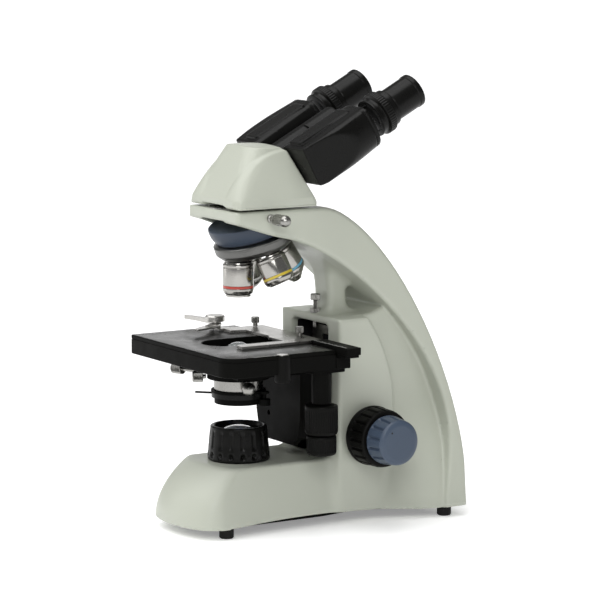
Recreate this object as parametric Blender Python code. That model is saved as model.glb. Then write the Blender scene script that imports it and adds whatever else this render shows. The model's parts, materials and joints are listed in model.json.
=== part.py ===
"""A binocular compound microscope: arched stand, tilted nosepiece, mechanical stage and inclined head.

Metres, +Z up. +X is the side with the stage controls, -Y is the lamp end and +Y is the arm and eyepiece end.
Every piece is modelled about the optical axis (x = 0, y = 0) with the table at z = 0. The "microscope" empty
then moves the whole object so that the origin lies under the middle of its outline.
"""

import math

import bmesh
import bpy
from mathutils import Matrix, Vector

MM = 0.001

# Overall outline
BASE_FRONT_Y = -67.5 * MM
ARM_REAR_Y = 184.5 * MM
NOSE_TOP_Z = 265 * MM
HOLDER_REACH_X = 97 * MM

# Stand
BASE_BOTTOM_Z = 8 * MM
DECK_Z = 56 * MM
# The spring finger's lever reaches this much further out than the fine knob on the other side.
LEVER_OVERHANG = 10 * MM
BASE_REAR_Y = 170.5 * MM
PILLAR_FRONT_Y = 69.5 * MM
PILLAR_TOP_Z = 172 * MM
PILLAR_HALF_WIDTH = 47 * MM
ARCH_HALF_WIDTH_TOP = 39.5 * MM
ARCH_HALF_WIDTH_BOTTOM = 68 * MM
ARCH_START_Y = 60 * MM
ARCH_SPRING_Z = 45 * MM
ARCH_POWER = 1.6
NOSE_FRONT_Y = -24 * MM
WALL = 5 * MM
WINDOW_HALF_WIDTH = 27.5 * MM
WINDOW_Z = (58 * MM, 166 * MM)

# Focus drive
FOCUS_Y = 95.5 * MM
FOCUS_Z = 75 * MM
PINION_TEETH = 12
TOOTH_MODULE = 1 * MM
COARSE_X = (51.5 * MM, 77 * MM)

# Stage
STAGE_TOP_Z = 154 * MM
STAGE_HALF_WIDTH = 81 * MM
STAGE_FRONT_Y = -57 * MM
STAGE_REAR_Y = 44 * MM
STAGE_THICKNESS = 16 * MM
STAGE_CORNER = 16 * MM
APERTURE_HALF_WIDTH = 18 * MM
APERTURE_Y = (-32 * MM, 40 * MM)
LOWER_PLATE_Z = (130 * MM, 137.6 * MM)
DRIVE_X = 65 * MM
DRIVE_Y = 40 * MM
CLIP_PIVOT = (-66 * MM, 16 * MM)

# Condenser and lamp
FILTER_PIVOT = (21.5 * MM, 12 * MM, 0)

# Nosepiece: every objective axis passes through the apex, so each can swing onto the optical axis
TURRET_TILT = math.radians(17)
APEX_Z = 285.8 * MM

# Head and eyepieces
TUBE_TILT = math.radians(28)
HINGE_FOOT = (0.0, 35.7 * MM, 299.8 * MM)
TUBE_SPACING = 80 * MM


# ---------------------------------------------------------------- materials

COLOURS = {
    "white_paint": ((0.78, 0.79, 0.74), 0.35, 0.0),
    "black_plastic": ((0.02, 0.02, 0.02), 0.4, 0.0),
    "black_anodised": ((0.035, 0.035, 0.034), 0.45, 0.2),
    "blue_plastic": ((0.09, 0.13, 0.21), 0.4, 0.0),
    "chrome": ((0.8, 0.8, 0.8), 0.12, 1.0),
    "steel": ((0.62, 0.61, 0.58), 0.3, 1.0),
    "brass": ((0.7, 0.5, 0.22), 0.35, 1.0),
    "glass": ((0.85, 0.9, 0.9), 0.05, 0.0),
    "blue_glass": ((0.15, 0.35, 0.75), 0.05, 0.0),
    "rubber": ((0.015, 0.015, 0.015), 0.8, 0.0),
    "led_board": ((0.75, 0.74, 0.6), 0.5, 0.0),
}


def material_for(name, finish):
    """A Principled material that belongs to one object."""
    colour, roughness, metallic = COLOURS[finish]
    material = bpy.data.materials.new(name + "_" + finish)
    material.use_nodes = True
    shader = material.node_tree.nodes["Principled BSDF"]
    shader.inputs["Base Color"].default_value = (*colour, 1.0)
    shader.inputs["Roughness"].default_value = roughness
    shader.inputs["Metallic"].default_value = metallic
    material.diffuse_color = (*colour, 1.0)
    return material


# ---------------------------------------------------------------- building blocks


def add(name, bm, finish=None, at=(0, 0, 0), turn=None):
    """Turns a bmesh into an object under the microscope empty. Without a finish it is a hidden helper."""
    bmesh.ops.recalc_face_normals(bm, faces=bm.faces)
    mesh = bpy.data.meshes.new(name)
    bm.to_mesh(mesh)
    bm.free()
    obj = bpy.data.objects.new(name, mesh)
    bpy.context.scene.collection.objects.link(obj)
    obj.parent = ROOT
    obj.location = at
    if turn is not None:
        obj.rotation_euler = turn.to_euler()
    if finish is None:
        obj.hide_render = True
        obj.display_type = "WIRE"
    else:
        mesh.materials.append(material_for(name, finish))
        mesh.shade_smooth()
        mesh.set_sharp_from_angle(angle=math.radians(35))
    return obj


def turned(profile, steps=28, closed=False):
    """A solid of revolution about local Z from (radius, height) points.

    An open profile starts and ends on the axis. A closed one goes round a ring and meets itself.
    """
    bm = bmesh.new()
    rings = []
    for radius, height in profile:
        if radius == 0:
            rings.append([bm.verts.new((0, 0, height))])
            continue
        ring = []
        for step in range(steps):
            angle = 2 * math.pi * step / steps
            ring.append(bm.verts.new((radius * math.cos(angle), radius * math.sin(angle), height)))
        rings.append(ring)
    pairs = list(zip(rings, rings[1:]))
    if closed:
        pairs.append((rings[-1], rings[0]))
    for one, two in pairs:
        for step in range(steps):
            after = (step + 1) % steps
            corners = [one[step % len(one)], one[after % len(one)], two[after % len(two)], two[step % len(two)]]
            face = list(dict.fromkeys(corners))
            if len(face) > 2:
                bm.faces.new(face)
    return bm


def in_mm(points):
    return [tuple(value * MM for value in point) for point in points]


def cylinder(radius, low, high, steps=24):
    return turned([(0, high), (radius, high), (radius, low), (0, low)], steps)


def tube(inner, outer, low, high, steps=24):
    return turned([(outer, high), (outer, low), (inner, low), (inner, high)], steps, closed=True)


def block(low, high):
    """An axis-aligned box between two corners."""
    bm = bmesh.new()
    size = [b - a for a, b in zip(low, high)]
    middle = [(a + b) / 2 for a, b in zip(low, high)]
    place = Matrix.Translation(middle) @ Matrix.Diagonal((*size, 1))
    bmesh.ops.create_cube(bm, size=1, matrix=place)
    return bm


def plate(outline, low, high):
    """A plan outline of (x, y) points raised from one height to another."""
    bm = bmesh.new()
    face = bm.faces.new([bm.verts.new((x, y, low)) for x, y in outline])
    raised = bmesh.ops.extrude_face_region(bm, geom=[face])
    verts = [item for item in raised["geom"] if isinstance(item, bmesh.types.BMVert)]
    bmesh.ops.translate(bm, verts=verts, vec=(0, 0, high - low))
    return bm


def side_slab(outline, width_at):
    """A side-view outline of (y, z) points carried across X, as wide as width_at(z) on each side."""
    bm = bmesh.new()
    near = [bm.verts.new((width_at(z), y, z)) for y, z in outline]
    far = [bm.verts.new((-width_at(z), y, z)) for y, z in outline]
    bm.faces.new(near)
    bm.faces.new(list(reversed(far)))
    count = len(outline)
    for index in range(count):
        after = (index + 1) % count
        bm.faces.new([near[after], near[index], far[index], far[after]])
    return bm


def hull(points):
    bm = bmesh.new()
    for point in points:
        bm.verts.new(point)
    result = bmesh.ops.convex_hull(bm, input=bm.verts)
    spare = [item for item in result["geom_interior"] if isinstance(item, bmesh.types.BMVert)]
    bmesh.ops.delete(bm, geom=spare, context="VERTS")
    return bm


def rounded_rectangle(low, high, radius, steps=4):
    """Plan outline of a rectangle with round corners."""
    centres = [
        (high[0] - radius, high[1] - radius, 0),
        (low[0] + radius, high[1] - radius, 90),
        (low[0] + radius, low[1] + radius, 180),
        (high[0] - radius, low[1] + radius, 270),
    ]
    points = []
    for x, y, start in centres:
        for step in range(steps + 1):
            angle = math.radians(start + 90 * step / steps)
            points.append((x + radius * math.cos(angle), y + radius * math.sin(angle)))
    return points


def bezier(a, b, c, d, steps):
    """Points along a cubic Bezier curve, both ends included."""
    points = []
    for step in range(steps + 1):
        t = step / steps
        weights = ((1 - t) ** 3, 3 * t * (1 - t) ** 2, 3 * t * t * (1 - t), t**3)
        points.append(tuple(sum(w * p[i] for w, p in zip(weights, (a, b, c, d))) for i in range(len(a))))
    return points


def boolean(obj, other, operation):
    modifier = obj.modifiers.new(operation.lower(), "BOOLEAN")
    modifier.object = other
    modifier.operation = operation
    modifier.solver = "EXACT"


def cut(obj, bm, at=(0, 0, 0), turn=None):
    boolean(obj, add(obj.name + ".cutter", bm, at=at, turn=turn), "DIFFERENCE")


def fuse(obj, bm, at=(0, 0, 0), turn=None):
    boolean(obj, add(obj.name + ".added", bm, at=at, turn=turn), "UNION")


ALONG_X = Matrix.Rotation(math.radians(90), 3, "Y")
AGAINST_X = Matrix.Rotation(math.radians(-90), 3, "Y")
TURRET_FRAME = Matrix.Rotation(TURRET_TILT, 3, "X")
TUBE_FRAME = Matrix.Rotation(TUBE_TILT - math.radians(90), 3, "X")


def pointing(direction):
    """The rotation that carries local +Z onto a direction."""
    return Vector(direction).to_track_quat("Z", "Y").to_matrix()


# ---------------------------------------------------------------- stand


def arch_outline():
    """The arched arm in side view: nose, outer sweep, heel, inner sweep."""
    points = [(NOSE_FRONT_Y, NOSE_TOP_Z)]
    steps = 14
    for step in range(steps + 1):
        angle = math.radians(90) * step / steps
        across = (ARM_REAR_Y - ARCH_START_Y) * math.sin(angle) ** (2 / ARCH_POWER)
        rise = (NOSE_TOP_Z - ARCH_SPRING_Z) * max(math.cos(angle), 0) ** (2 / ARCH_POWER)
        points.append((ARCH_START_Y + across, ARCH_SPRING_Z + rise))
    points.append((ARM_REAR_Y - 1.5 * MM, BASE_BOTTOM_Z))
    foot = bezier(*in_mm([(162, 8), (163, 28), (170, 48), (170, 72)]), 4)
    sweep = bezier(*in_mm([(170, 72), (170, 150), (75, 232), (20, 242)]), 12)
    lip = bezier(*in_mm([(20, 242), (8, 244), (-6, 250), (-24, 255.5)]), 4)
    return points + foot + sweep[1:] + lip[1:]


def arch_half_width(z):
    down = (NOSE_TOP_Z - z) / (NOSE_TOP_Z - BASE_BOTTOM_Z)
    return ARCH_HALF_WIDTH_TOP + (ARCH_HALF_WIDTH_BOTTOM - ARCH_HALF_WIDTH_TOP) * down


def pillar_outline():
    bulge = bezier(*in_mm([(97, 8.5), (135, 70), (130, 130), (98, 172)]), 10)
    return [(PILLAR_FRONT_Y, BASE_BOTTOM_Z + 0.5 * MM), *bulge, (PILLAR_FRONT_Y, PILLAR_TOP_Z)]


def base_body(inset, low, high):
    """The base as stacked plan outlines that shrink towards the deck, with a bowed front."""
    levels = in_mm(
        [
            (8, 48, -67.5, 23, 63),
            (17, 47, -66, 22, 60),
            (27, 45.5, -61, 19, 55),
            (41, 43, -51, 14, 49),
            (56, 39, -34, 8, 44),
        ]
    )
    bm = bmesh.new()
    rings = []
    for z, half_width, front, bow, heel in levels:
        half_width -= inset
        heel -= inset
        height = low if z < 9 * MM else min(z, high)
        ring = []
        for step in range(9):
            across = step / 4 - 1
            y = front + inset + bow * across * across
            ring.append(bm.verts.new((half_width * across, y, height)))
        rear = [(half_width, 95 * MM), ((half_width + heel) / 2, 138 * MM), (heel, BASE_REAR_Y - inset)]
        rear += [(-x, y) for x, y in reversed(rear)]
        ring += [bm.verts.new((x, y, height)) for x, y in rear]
        rings.append(ring)
    bm.faces.new(rings[0])
    bm.faces.new(rings[-1])
    for one, two in zip(rings, rings[1:]):
        for index in range(len(one)):
            after = (index + 1) % len(one)
            bm.faces.new([one[index], one[after], two[after], two[index]])
    bmesh.ops.remove_doubles(bm, verts=bm.verts, dist=0.00001)
    bmesh.ops.triangulate(bm, faces=bm.faces)
    return bm


def make_stand():
    casting = add("stand_casting", side_slab(arch_outline(), arch_half_width), "white_paint")
    fuse(casting, side_slab(pillar_outline(), lambda z: PILLAR_HALF_WIDTH))
    web = [(90, 9), (164, 9), (168, 40), (172, 75), (166, 110), (140, 165), (122, 176), (110, 174), (90, 169)]
    fuse(casting, side_slab(in_mm(web), lambda z: (38 - 36 * (z - 0.008)) * MM if z > 1 else 35 * MM))
    fuse(casting, base_body(0, BASE_BOTTOM_Z, DECK_Z))
    neck = [(79.6, 168), (80.5, 178), (81, 187), (80, 200), (76, 215), (70, 228), (104, 212), (97, 196), (95.5, 186)]
    neck += [(98, 177), (103, 168)]
    fuse(casting, side_slab(in_mm(neck), lambda z: 13 * MM))

    cut(casting, base_body(WALL, -1 * MM, DECK_Z - WALL))
    cut(casting, block((-33 * MM, 76 * MM, -1 * MM), (33 * MM, 114 * MM, 140 * MM)))
    heel = [(112, -1), (157, -1), (159, 60), (150, 105), (124, 142), (112, 144)]
    cut(casting, side_slab(in_mm(heel), lambda z: 29 * MM))
    hollow = [(20, 260), (60, 260), (79, 252), (94, 241), (108, 227), (121, 210), (134, 189), (118, 188), (95, 209)]
    hollow += [(70, 227), (45, 240), (20, 247)]
    cut(casting, side_slab(in_mm(hollow), lambda z: 33 * MM))
    cut(casting, block((-32 * MM, 75.5 * MM, 100 * MM), (32 * MM, 92 * MM, 166.5 * MM)))
    window = block((-WINDOW_HALF_WIDTH, 60 * MM, WINDOW_Z[0]), (WINDOW_HALF_WIDTH, 80 * MM, WINDOW_Z[1]))
    cut(casting, window)
    bore = cylinder(9 * MM, -60 * MM, 60 * MM, 24)
    cut(casting, bore, at=(0, FOCUS_Y, FOCUS_Z), turn=ALONG_X)
    cut(casting, cylinder(14 * MM, 30 * MM, 60 * MM, 24))
    cut(casting, cylinder(2.2 * MM, 155 * MM, 180 * MM, 12), at=(0, 74.5 * MM, 0))
    cut(casting, cylinder(2.9 * MM, 20 * MM, 45 * MM, 12), at=(0, 6 * MM, 259.3 * MM), turn=ALONG_X)
    cut(casting, cylinder(24.5 * MM, 258 * MM, 270 * MM, 28))

    well = turned(in_mm([(0, -16), (36.2, -16), (36.2, -60), (50, -112), (0, -112)]), 28)
    well_cutter = add("turret_well.cutter", well, at=(0, 0, APEX_Z), turn=TURRET_FRAME)
    cut(well_cutter, block((-60 * MM, -60 * MM, 256 * MM), (60 * MM, 90 * MM, 290 * MM)))
    boolean(casting, well_cutter, "DIFFERENCE")

    cut(casting, block((-16 * MM, 170 * MM, 20 * MM), (16 * MM, 190 * MM, 44 * MM)))
    cut(casting, block((26 * MM, 170 * MM, 22 * MM), (42 * MM, 190 * MM, 38 * MM)))
    cut(casting, block((-60 * MM, -8 * MM, 22 * MM), (-38 * MM, 16 * MM, 46 * MM)))


def make_underside():
    outline = [(-60, 160), (-34, 98), (-42, 60), (-43, -38), (-22, -56), (22, -56), (43, -38), (42, 60), (34, 98), (60, 160)]
    outline += [(60, 178), (-60, 178)]
    add("bottom_plate", plate(in_mm(outline), 5.4 * MM, 7.7 * MM), "black_anodised")
    for name, x, y in (("front_right", 38, -34), ("front_left", -38, -34), ("rear_right", 55, 168), ("rear_left", -55, 168)):
        foot = cylinder(6 * MM, 0, 5.1 * MM, 16)
        add("foot_" + name, foot, "rubber", at=(x * MM, y * MM, 0))


def make_lamp():
    profile = [(23.3, 85), (24.6, 70), (25.9, 59), (25.6, 56.3), (20.5, 56.3), (20.5, 68), (19, 69), (19, 82), (20.6, 85)]
    add("collector_ring", turned(in_mm(profile), 36, closed=True), "black_plastic")
    lens = [(0, 79), (8, 78.2), (14, 75.8), (18.4, 72), (18.4, 69.6), (0, 69.6)]
    add("collector_lens", turned(in_mm(lens), 24), "glass")
    module = [(0, 54), (4, 53), (5, 51), (13, 51), (13, 40), (0, 40)]
    add("led_module", turned(in_mm(module), 20), "led_board")


def make_electrics():
    add("power_inlet", block((-15.7 * MM, 171 * MM, 20.3 * MM), (15.7 * MM, 183.6 * MM, 43.7 * MM)), "black_plastic")
    cut(bpy.data.objects["power_inlet"], block((-11 * MM, 176 * MM, 24 * MM), (11 * MM, 190 * MM, 40 * MM)))
    rocker = hull(in_mm([(x, y, z) for x in (-7.4, 7.4) for y, z in ((-5, -7), (4, -7), (1.5, 0), (2.5, 7), (-5, 7))]))
    add("rocker_switch", rocker, "black_plastic", at=(34 * MM, 179.5 * MM, 30 * MM))
    dial = [(0, 6), (9.5, 6), (10.5, 4.5), (10.5, -5), (0, -5)]
    add("brightness_dial", turned(in_mm(dial), 24), "black_plastic", at=(-43.5 * MM, 4 * MM, 34 * MM), turn=AGAINST_X)


# ---------------------------------------------------------------- focus drive


def pinion_outline():
    """Twelve tapered teeth, thinner than the rack's gaps so that they run with play."""
    pitch = PINION_TEETH * TOOTH_MODULE / 2
    points = []
    for tooth in range(PINION_TEETH):
        for radius, half_angle in ((pitch - 1.25 * MM, 9.0), (pitch, 6.2), (pitch + 0.85 * MM, 2.6)):
            points.append((radius, tooth * 30 - half_angle))
        for radius, half_angle in ((pitch + 0.85 * MM, 2.6), (pitch, 6.2), (pitch - 1.25 * MM, 9.0)):
            points.append((radius, tooth * 30 + half_angle))
    return [(r * math.cos(math.radians(a)), r * math.sin(math.radians(a))) for r, a in points]


def rack_outline(length):
    """Straight teeth for the pinion, drawn as (height, depth) with the pitch line at depth 0."""
    pitch = math.pi * TOOTH_MODULE
    half_count = int(length / pitch / 2)
    points = [(-(half_count + 0.5) * pitch, -4 * MM)]
    for tooth in range(-half_count, half_count):
        middle = (tooth + 0.5) * pitch
        for along, depth in ((-1.0, -1.2), (-0.45, 0.8), (0.45, 0.8), (1.0, -1.2)):
            points.append((middle + along * MM, depth * MM))
    points.append(((half_count + 0.5) * pitch, -4 * MM))
    return points


def make_focus_drive():
    pitch_radius = PINION_TEETH * TOOTH_MODULE / 2
    sleeve = tube(3.4 * MM, 4.7 * MM, -COARSE_X[0] - 8 * MM, COARSE_X[0] + 8 * MM, 24)
    shaft = add("coarse_shaft", sleeve, "steel", at=(0, FOCUS_Y, FOCUS_Z), turn=ALONG_X)
    teeth = plate(pinion_outline(), -7 * MM, 7 * MM)
    spun = ALONG_X @ Matrix.Rotation(math.radians(15), 3, "Z")
    pinion = add("pinion.added", teeth, at=(0, FOCUS_Y, FOCUS_Z), turn=spun)
    cut(pinion, cylinder(4 * MM, -10 * MM, 10 * MM, 24), at=(0, FOCUS_Y, FOCUS_Z), turn=ALONG_X)
    boolean(shaft, pinion, "UNION")

    rack_y = FOCUS_Y - pitch_radius
    outline = [(rack_y + depth, FOCUS_Z + 9.5 * math.pi * TOOTH_MODULE + along) for along, depth in rack_outline(62 * MM)]
    add("focus_rack", side_slab(outline, lambda z: 5 * MM), "brass")

    for name, side in (("right", 1), ("left", -1)):
        turn = ALONG_X if side > 0 else AGAINST_X
        place = (0, FOCUS_Y, FOCUS_Z)
        knob = [(23, 51.5), (25, 53.5), (25, 66), (23.5, 76.5), (21.5, 77), (17, 77), (17, 70), (5.1, 70), (5.1, 51.5)]
        add("coarse_knob_" + name, turned(in_mm(knob), 24, closed=True), "black_plastic", at=place, turn=turn)
        cap = [(0, 98), (16.2, 98), (18.8, 96), (20.3, 80), (20.3, 77.6), (3.6, 77.6), (3.6, 90), (0, 90)]
        add("fine_knob_" + name, turned(in_mm(cap), 28), "blue_plastic", at=place, turn=turn)
    fine = cylinder(3.0 * MM, -89.5 * MM, 89.5 * MM, 16)
    add("fine_shaft", fine, "steel", at=(0, FOCUS_Y, FOCUS_Z), turn=ALONG_X)
    collar = tube(10 * MM, 21 * MM, 47.4 * MM, 51.1 * MM, 28)
    add("tension_collar", collar, "black_plastic", at=(0, FOCUS_Y, FOCUS_Z), turn=ALONG_X)

    guide = add("focus_guide", block(in_mm([(-24, 86.4, 58)])[0], in_mm([(24, 90.5, 160)])[0]), "steel")
    cut(guide, block((-7.5 * MM, 80 * MM, 50 * MM), (7.5 * MM, 95 * MM, 153 * MM)))


# ---------------------------------------------------------------- stage


def make_carrier():
    outline = [(-35, 129.6), (-35, 90), (-31, 74), (-22, 67), (22, 67), (31, 74), (35, 90), (35, 129.6)]
    bm = bmesh.new()
    front = [bm.verts.new((x * MM, 38 * MM, z * MM)) for x, z in outline]
    back = [bm.verts.new((x * MM, 68 * MM, z * MM)) for x, z in outline]
    bm.faces.new(front)
    bm.faces.new(back)
    for index in range(len(outline)):
        after = (index + 1) % len(outline)
        bm.faces.new([front[index], front[after], back[after], back[index]])
    carrier = add("stage_carrier", bm, "black_anodised")
    fuse(carrier, block((-23.5 * MM, 66 * MM, 68 * MM), (23.5 * MM, 84.9 * MM, 128 * MM)))
    cut(carrier, block((-28 * MM, 44 * MM, 60 * MM), (28 * MM, 62 * MM, 120 * MM)))
    cut(carrier, cylinder(2.2 * MM, -10 * MM, 10 * MM, 12), at=(-15 * MM, 40 * MM, 89 * MM), turn=pointing((0, -1, 0)))

    lower = [(-45, -27), (45, -27), (45, 63), (-45, 63)]
    lower_plate = add("lower_stage_plate", plate(in_mm(lower), *LOWER_PLATE_Z), "black_anodised")
    cut(lower_plate, cylinder(19.5 * MM, 120 * MM, 150 * MM, 28))
    for side in (1, -1):
        ends = sorted((side * 36 * MM, side * 44 * MM))
        fuse(lower_plate, block((ends[0], -24 * MM, 136 * MM), (ends[1], 12 * MM, 145.6 * MM)))

    mount = add("condenser_mount", tube(20.9 * MM, 26 * MM, 124 * MM, 129.6 * MM, 28), "black_anodised")
    arm = block((-12 * MM, 22.5 * MM, 124.2 * MM), (12 * MM, 37.6 * MM, 129.4 * MM))
    fuse(mount, arm)


def make_upper_stage():
    rear = STAGE_REAR_Y + 30 * MM
    outline = rounded_rectangle((-STAGE_HALF_WIDTH, STAGE_FRONT_Y), (STAGE_HALF_WIDTH, rear), STAGE_CORNER)
    # The front left corner is nearly square.
    outline = [*outline, (-STAGE_HALF_WIDTH, STAGE_FRONT_Y + 2 * MM), (2 * MM - STAGE_HALF_WIDTH, STAGE_FRONT_Y)]
    levels = (STAGE_TOP_Z - STAGE_THICKNESS, STAGE_TOP_Z)
    stage = add("upper_stage_plate", hull([(x, y, z) for x, y in outline for z in levels]), "black_anodised")
    cut(stage, block((-90 * MM, STAGE_REAR_Y, 120 * MM), (90 * MM, 90 * MM, 160 * MM)))
    cut(stage, block((-74 * MM, STAGE_FRONT_Y + 6 * MM, 130 * MM), (74 * MM, 60 * MM, STAGE_TOP_Z - 8 * MM)))
    low = (-APERTURE_HALF_WIDTH, APERTURE_Y[0])
    high = (APERTURE_HALF_WIDTH, APERTURE_Y[1])
    cut(stage, plate(rounded_rectangle(low, high, 17.9 * MM, 6), 140 * MM, 160 * MM))
    fuse(stage, cylinder(6.5 * MM, 131 * MM, 153.5 * MM, 16), at=(78 * MM, -5 * MM, 0))

    housing = add("drive_housing", block(in_mm([(-72, 44.3, 138)])[0], in_mm([(81, 58, 148)])[0]), "black_anodised")
    fuse(housing, block(in_mm([(49, 27, 134)])[0], in_mm([(73.5, 57.5, 145.6)])[0]))
    fuse(housing, cylinder(8 * MM, 108 * MM, 136 * MM, 24), at=(DRIVE_X, DRIVE_Y, 0))
    cut(housing, cylinder(4.9 * MM, 100 * MM, 140 * MM, 20), at=(DRIVE_X, DRIVE_Y, 0))

    y_knob = [(13.5, 107), (13.5, 84), (12.9, 83), (3.3, 83), (3.3, 139), (4.5, 139), (4.5, 107.5)]
    at = (DRIVE_X, DRIVE_Y, 0)
    add("y_drive_knob", turned(in_mm(y_knob), 24, closed=True), "black_plastic", at=at)
    x_knob = [(0, 139.5), (3, 139.5), (3, 82), (12.3, 82), (12.3, 67.5), (11, 66), (0, 66)]
    add("x_drive_knob", turned(in_mm(x_knob), 28), "black_plastic", at=at)


def make_slide_holder():
    outline = [(-55, 17), (-41, 17), (-37, 29), (2, 29), (6, 25), (30, 25), (30, -18), (33, -21), (42, -21), (42, 56)]
    outline += [(-55, 56)]
    holder = add("slide_holder", plate(in_mm(outline), 154.4 * MM, 156.6 * MM), "steel")
    fuse(holder, cylinder(5 * MM, 155 * MM, 158.2 * MM, 16), at=(-66 * MM, 16 * MM, 0))
    fuse(holder, plate(in_mm([(-70, 13), (-54, 13), (-50, 30), (-56, 34)]), 154.6 * MM, 156.4 * MM))

    bar = add("x_rack_bar", block(in_mm([(-50, 44.8, 148.4)])[0], in_mm([(0, 57.6, 154.1)])[0]), "black_anodised")
    fuse(bar, block(in_mm([(-2, 44.8, 148.4)])[0], (HOLDER_REACH_X - 3 * MM, 57.6 * MM, 152 * MM)))
    fuse(bar, block(in_mm([(42.4, 44.4, 151)])[0], (HOLDER_REACH_X, 57.6 * MM, 157 * MM)))
    cut(bar, block(in_mm([(-60, 40, 154.1)])[0], in_mm([(42.3, 60, 160)])[0]))

    for name, x, y in (("left", -50, 46), ("right", 18, 48)):
        screw = turned(in_mm([(0, 165), (3.4, 165), (3.4, 160), (2, 160), (2, 156.9), (0, 156.9)]), 16)
        add("holder_screw_" + name, screw, "chrome", at=(x * MM, y * MM, 0))

    knob = turned(in_mm([(0, 166.5), (7.6, 166.5), (8.3, 165.5), (8.3, 161.5), (0, 161.5)]), 24)
    finger = add("spring_finger", knob, "steel", at=(*CLIP_PIVOT, 0))
    lever = [(3, 4), (-12, 5), (-30, 1), (-42, -3.5), (-42, -6), (-28, -3), (-10, -2), (2, -4)]
    leaf = [(-1, -3), (7, -12), (15, -24), (22, -33), (26, -31), (24, -22), (17, -10), (6, 3), (0, 3)]
    pivot_lever = plate([(x * MM, y * MM) for x, y in lever], 158.6 * MM, 162 * MM)
    fuse(finger, pivot_lever, at=(*CLIP_PIVOT, 0))
    fuse(finger, plate([(x * MM, y * MM) for x, y in leaf], 158.6 * MM, 160 * MM), at=(*CLIP_PIVOT, 0))
    fuse(finger, cylinder(4 * MM, 158.5 * MM, 163 * MM, 16), at=(*CLIP_PIVOT, 0))


# ---------------------------------------------------------------- condenser


def make_condenser():
    body = [(9.3, 150.8), (12, 147), (16.9, 144), (16.9, 114.6), (22.8, 114.6), (22.8, 112.7), (13, 112.7), (13, 140)]
    body += [(9.3, 144)]
    barrel = add("condenser_body", turned(in_mm(body), 24, closed=True), "black_anodised")
    fuse(barrel, cylinder(4 * MM, 112.75 * MM, 114.5 * MM, 16), at=FILTER_PIVOT)
    fuse(barrel, cylinder(1.6 * MM, 108.5 * MM, 113.5 * MM, 10), at=FILTER_PIVOT)
    lens = [(0, 153.6), (5, 152.8), (9, 150.6), (9, 144.4), (0, 144.4)]
    add("condenser_lens", turned(in_mm(lens), 24), "glass")
    ring = add("condenser_lever_ring", tube(17.3 * MM, 20.4 * MM, 115 * MM, 123.6 * MM, 28), "chrome")
    direction = Vector((30, -8, 0)).normalized()
    fuse(ring, cylinder(1.6 * MM, 18.5 * MM, 30 * MM, 10), at=(0, 0, 119.3 * MM), turn=pointing(direction))
    ball = bmesh.new()
    bmesh.ops.create_uvsphere(ball, u_segments=16, v_segments=8, radius=5.6 * MM)
    ball_at = direction * 31 * MM
    fuse(ring, ball, at=(ball_at.x, ball_at.y, 119.3 * MM))

    iris = add("iris_ring", tube(9 * MM, 22.4 * MM, 108.4 * MM, 112.4 * MM, 28), "black_anodised")
    fuse(iris, cylinder(0.9 * MM, 21 * MM, 37 * MM, 8), at=(0, 0, 110.4 * MM), turn=pointing((-0.71, -0.7, 0)))

    tray = tube(15.6 * MM, 20 * MM, 103.4 * MM, 108 * MM, 28)
    holder = add("filter_holder", tray, "black_anodised")
    fuse(holder, cylinder(5 * MM, 103 * MM, 108.1 * MM, 16), at=FILTER_PIVOT)
    add("blue_filter", cylinder(15.3 * MM, 104.6 * MM, 107 * MM, 24), "blue_glass")

    for name, angle, reach in (("clamp", 200, (26.4, 60, 71)), ("centring", 240, (26.4, 29, 38))):
        head = [(0, reach[2]), (4.4, reach[2]), (4.6, reach[1]), (1.8, reach[1]), (1.8, reach[0]), (0, reach[0])]
        away = (math.cos(math.radians(angle)), math.sin(math.radians(angle)), 0)
        add("condenser_%s_screw" % name, turned(in_mm(head), 14), "chrome", at=(0, 0, 125 * MM), turn=pointing(away))


# ---------------------------------------------------------------- nosepiece


def make_nosepiece():
    apex = (0, 0, APEX_Z)
    dome = [(0, -24), (34.3, -24), (34.3, -36), (33, -41), (30.5, -46.2), (0, -46.2)]
    cover = add("nosepiece_dome", turned(in_mm(dome), 28), "blue_plastic", at=apex, turn=TURRET_FRAME)
    cut(cover, block((-60 * MM, -60 * MM, 255.4 * MM), (60 * MM, 90 * MM, 290 * MM)))

    ring = [(0, -46.6), (31, -46.6), (33.2, -48.3), (33.8, -51), (33.2, -54.3), (30.3, -58.2), (6, -65.8), (0, -65.9)]
    add("nosepiece_turret", turned(in_mm(ring), 36), "steel", at=apex, turn=TURRET_FRAME)

    shapes = {
        "4x": (-90, [(12.8, 89), (10.4, 94), (7, 94), (6, 92)]),
        "10x": (0, [(12.8, 86), (10, 90), (5, 90), (4.5, 88.5)]),
        "40x": (90, [(12.8, 90), (11, 93)]),
        "100x": (180, [(12.8, 91), (11, 94)]),
    }
    for name, (angle, tip) in shapes.items():
        profile = [(0, 65.3), (11.6, 65.3), (11.6, 66.8), (12.8, 67.6), *tip]
        profile.append((0, tip[-1][1]))
        around = Matrix.Rotation(math.radians(angle + 90), 3, "Z")
        turn = TURRET_FRAME @ around @ Matrix.Rotation(-TURRET_TILT, 3, "X")
        bm = turned([(r * MM, -height * MM) for r, height in profile], 28)
        add("objective_" + name, bm, "chrome", at=apex, turn=turn)
    for name, angle, start, end in (("40x", 90, 93.3, 101), ("100x", 180, 94.3, 101.6)):
        nose = [(0, start), (9.8, start), (9.4, start + 1.5), (4.6, end - 0.3), (4.2, end), (0, end)]
        around = Matrix.Rotation(math.radians(angle + 90), 3, "Z")
        turn = TURRET_FRAME @ around @ Matrix.Rotation(-TURRET_TILT, 3, "X")
        bm = turned([(r * MM, -height * MM) for r, height in nose], 20)
        add("front_cell_" + name, bm, "chrome", at=apex, turn=turn)


# ---------------------------------------------------------------- head


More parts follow.
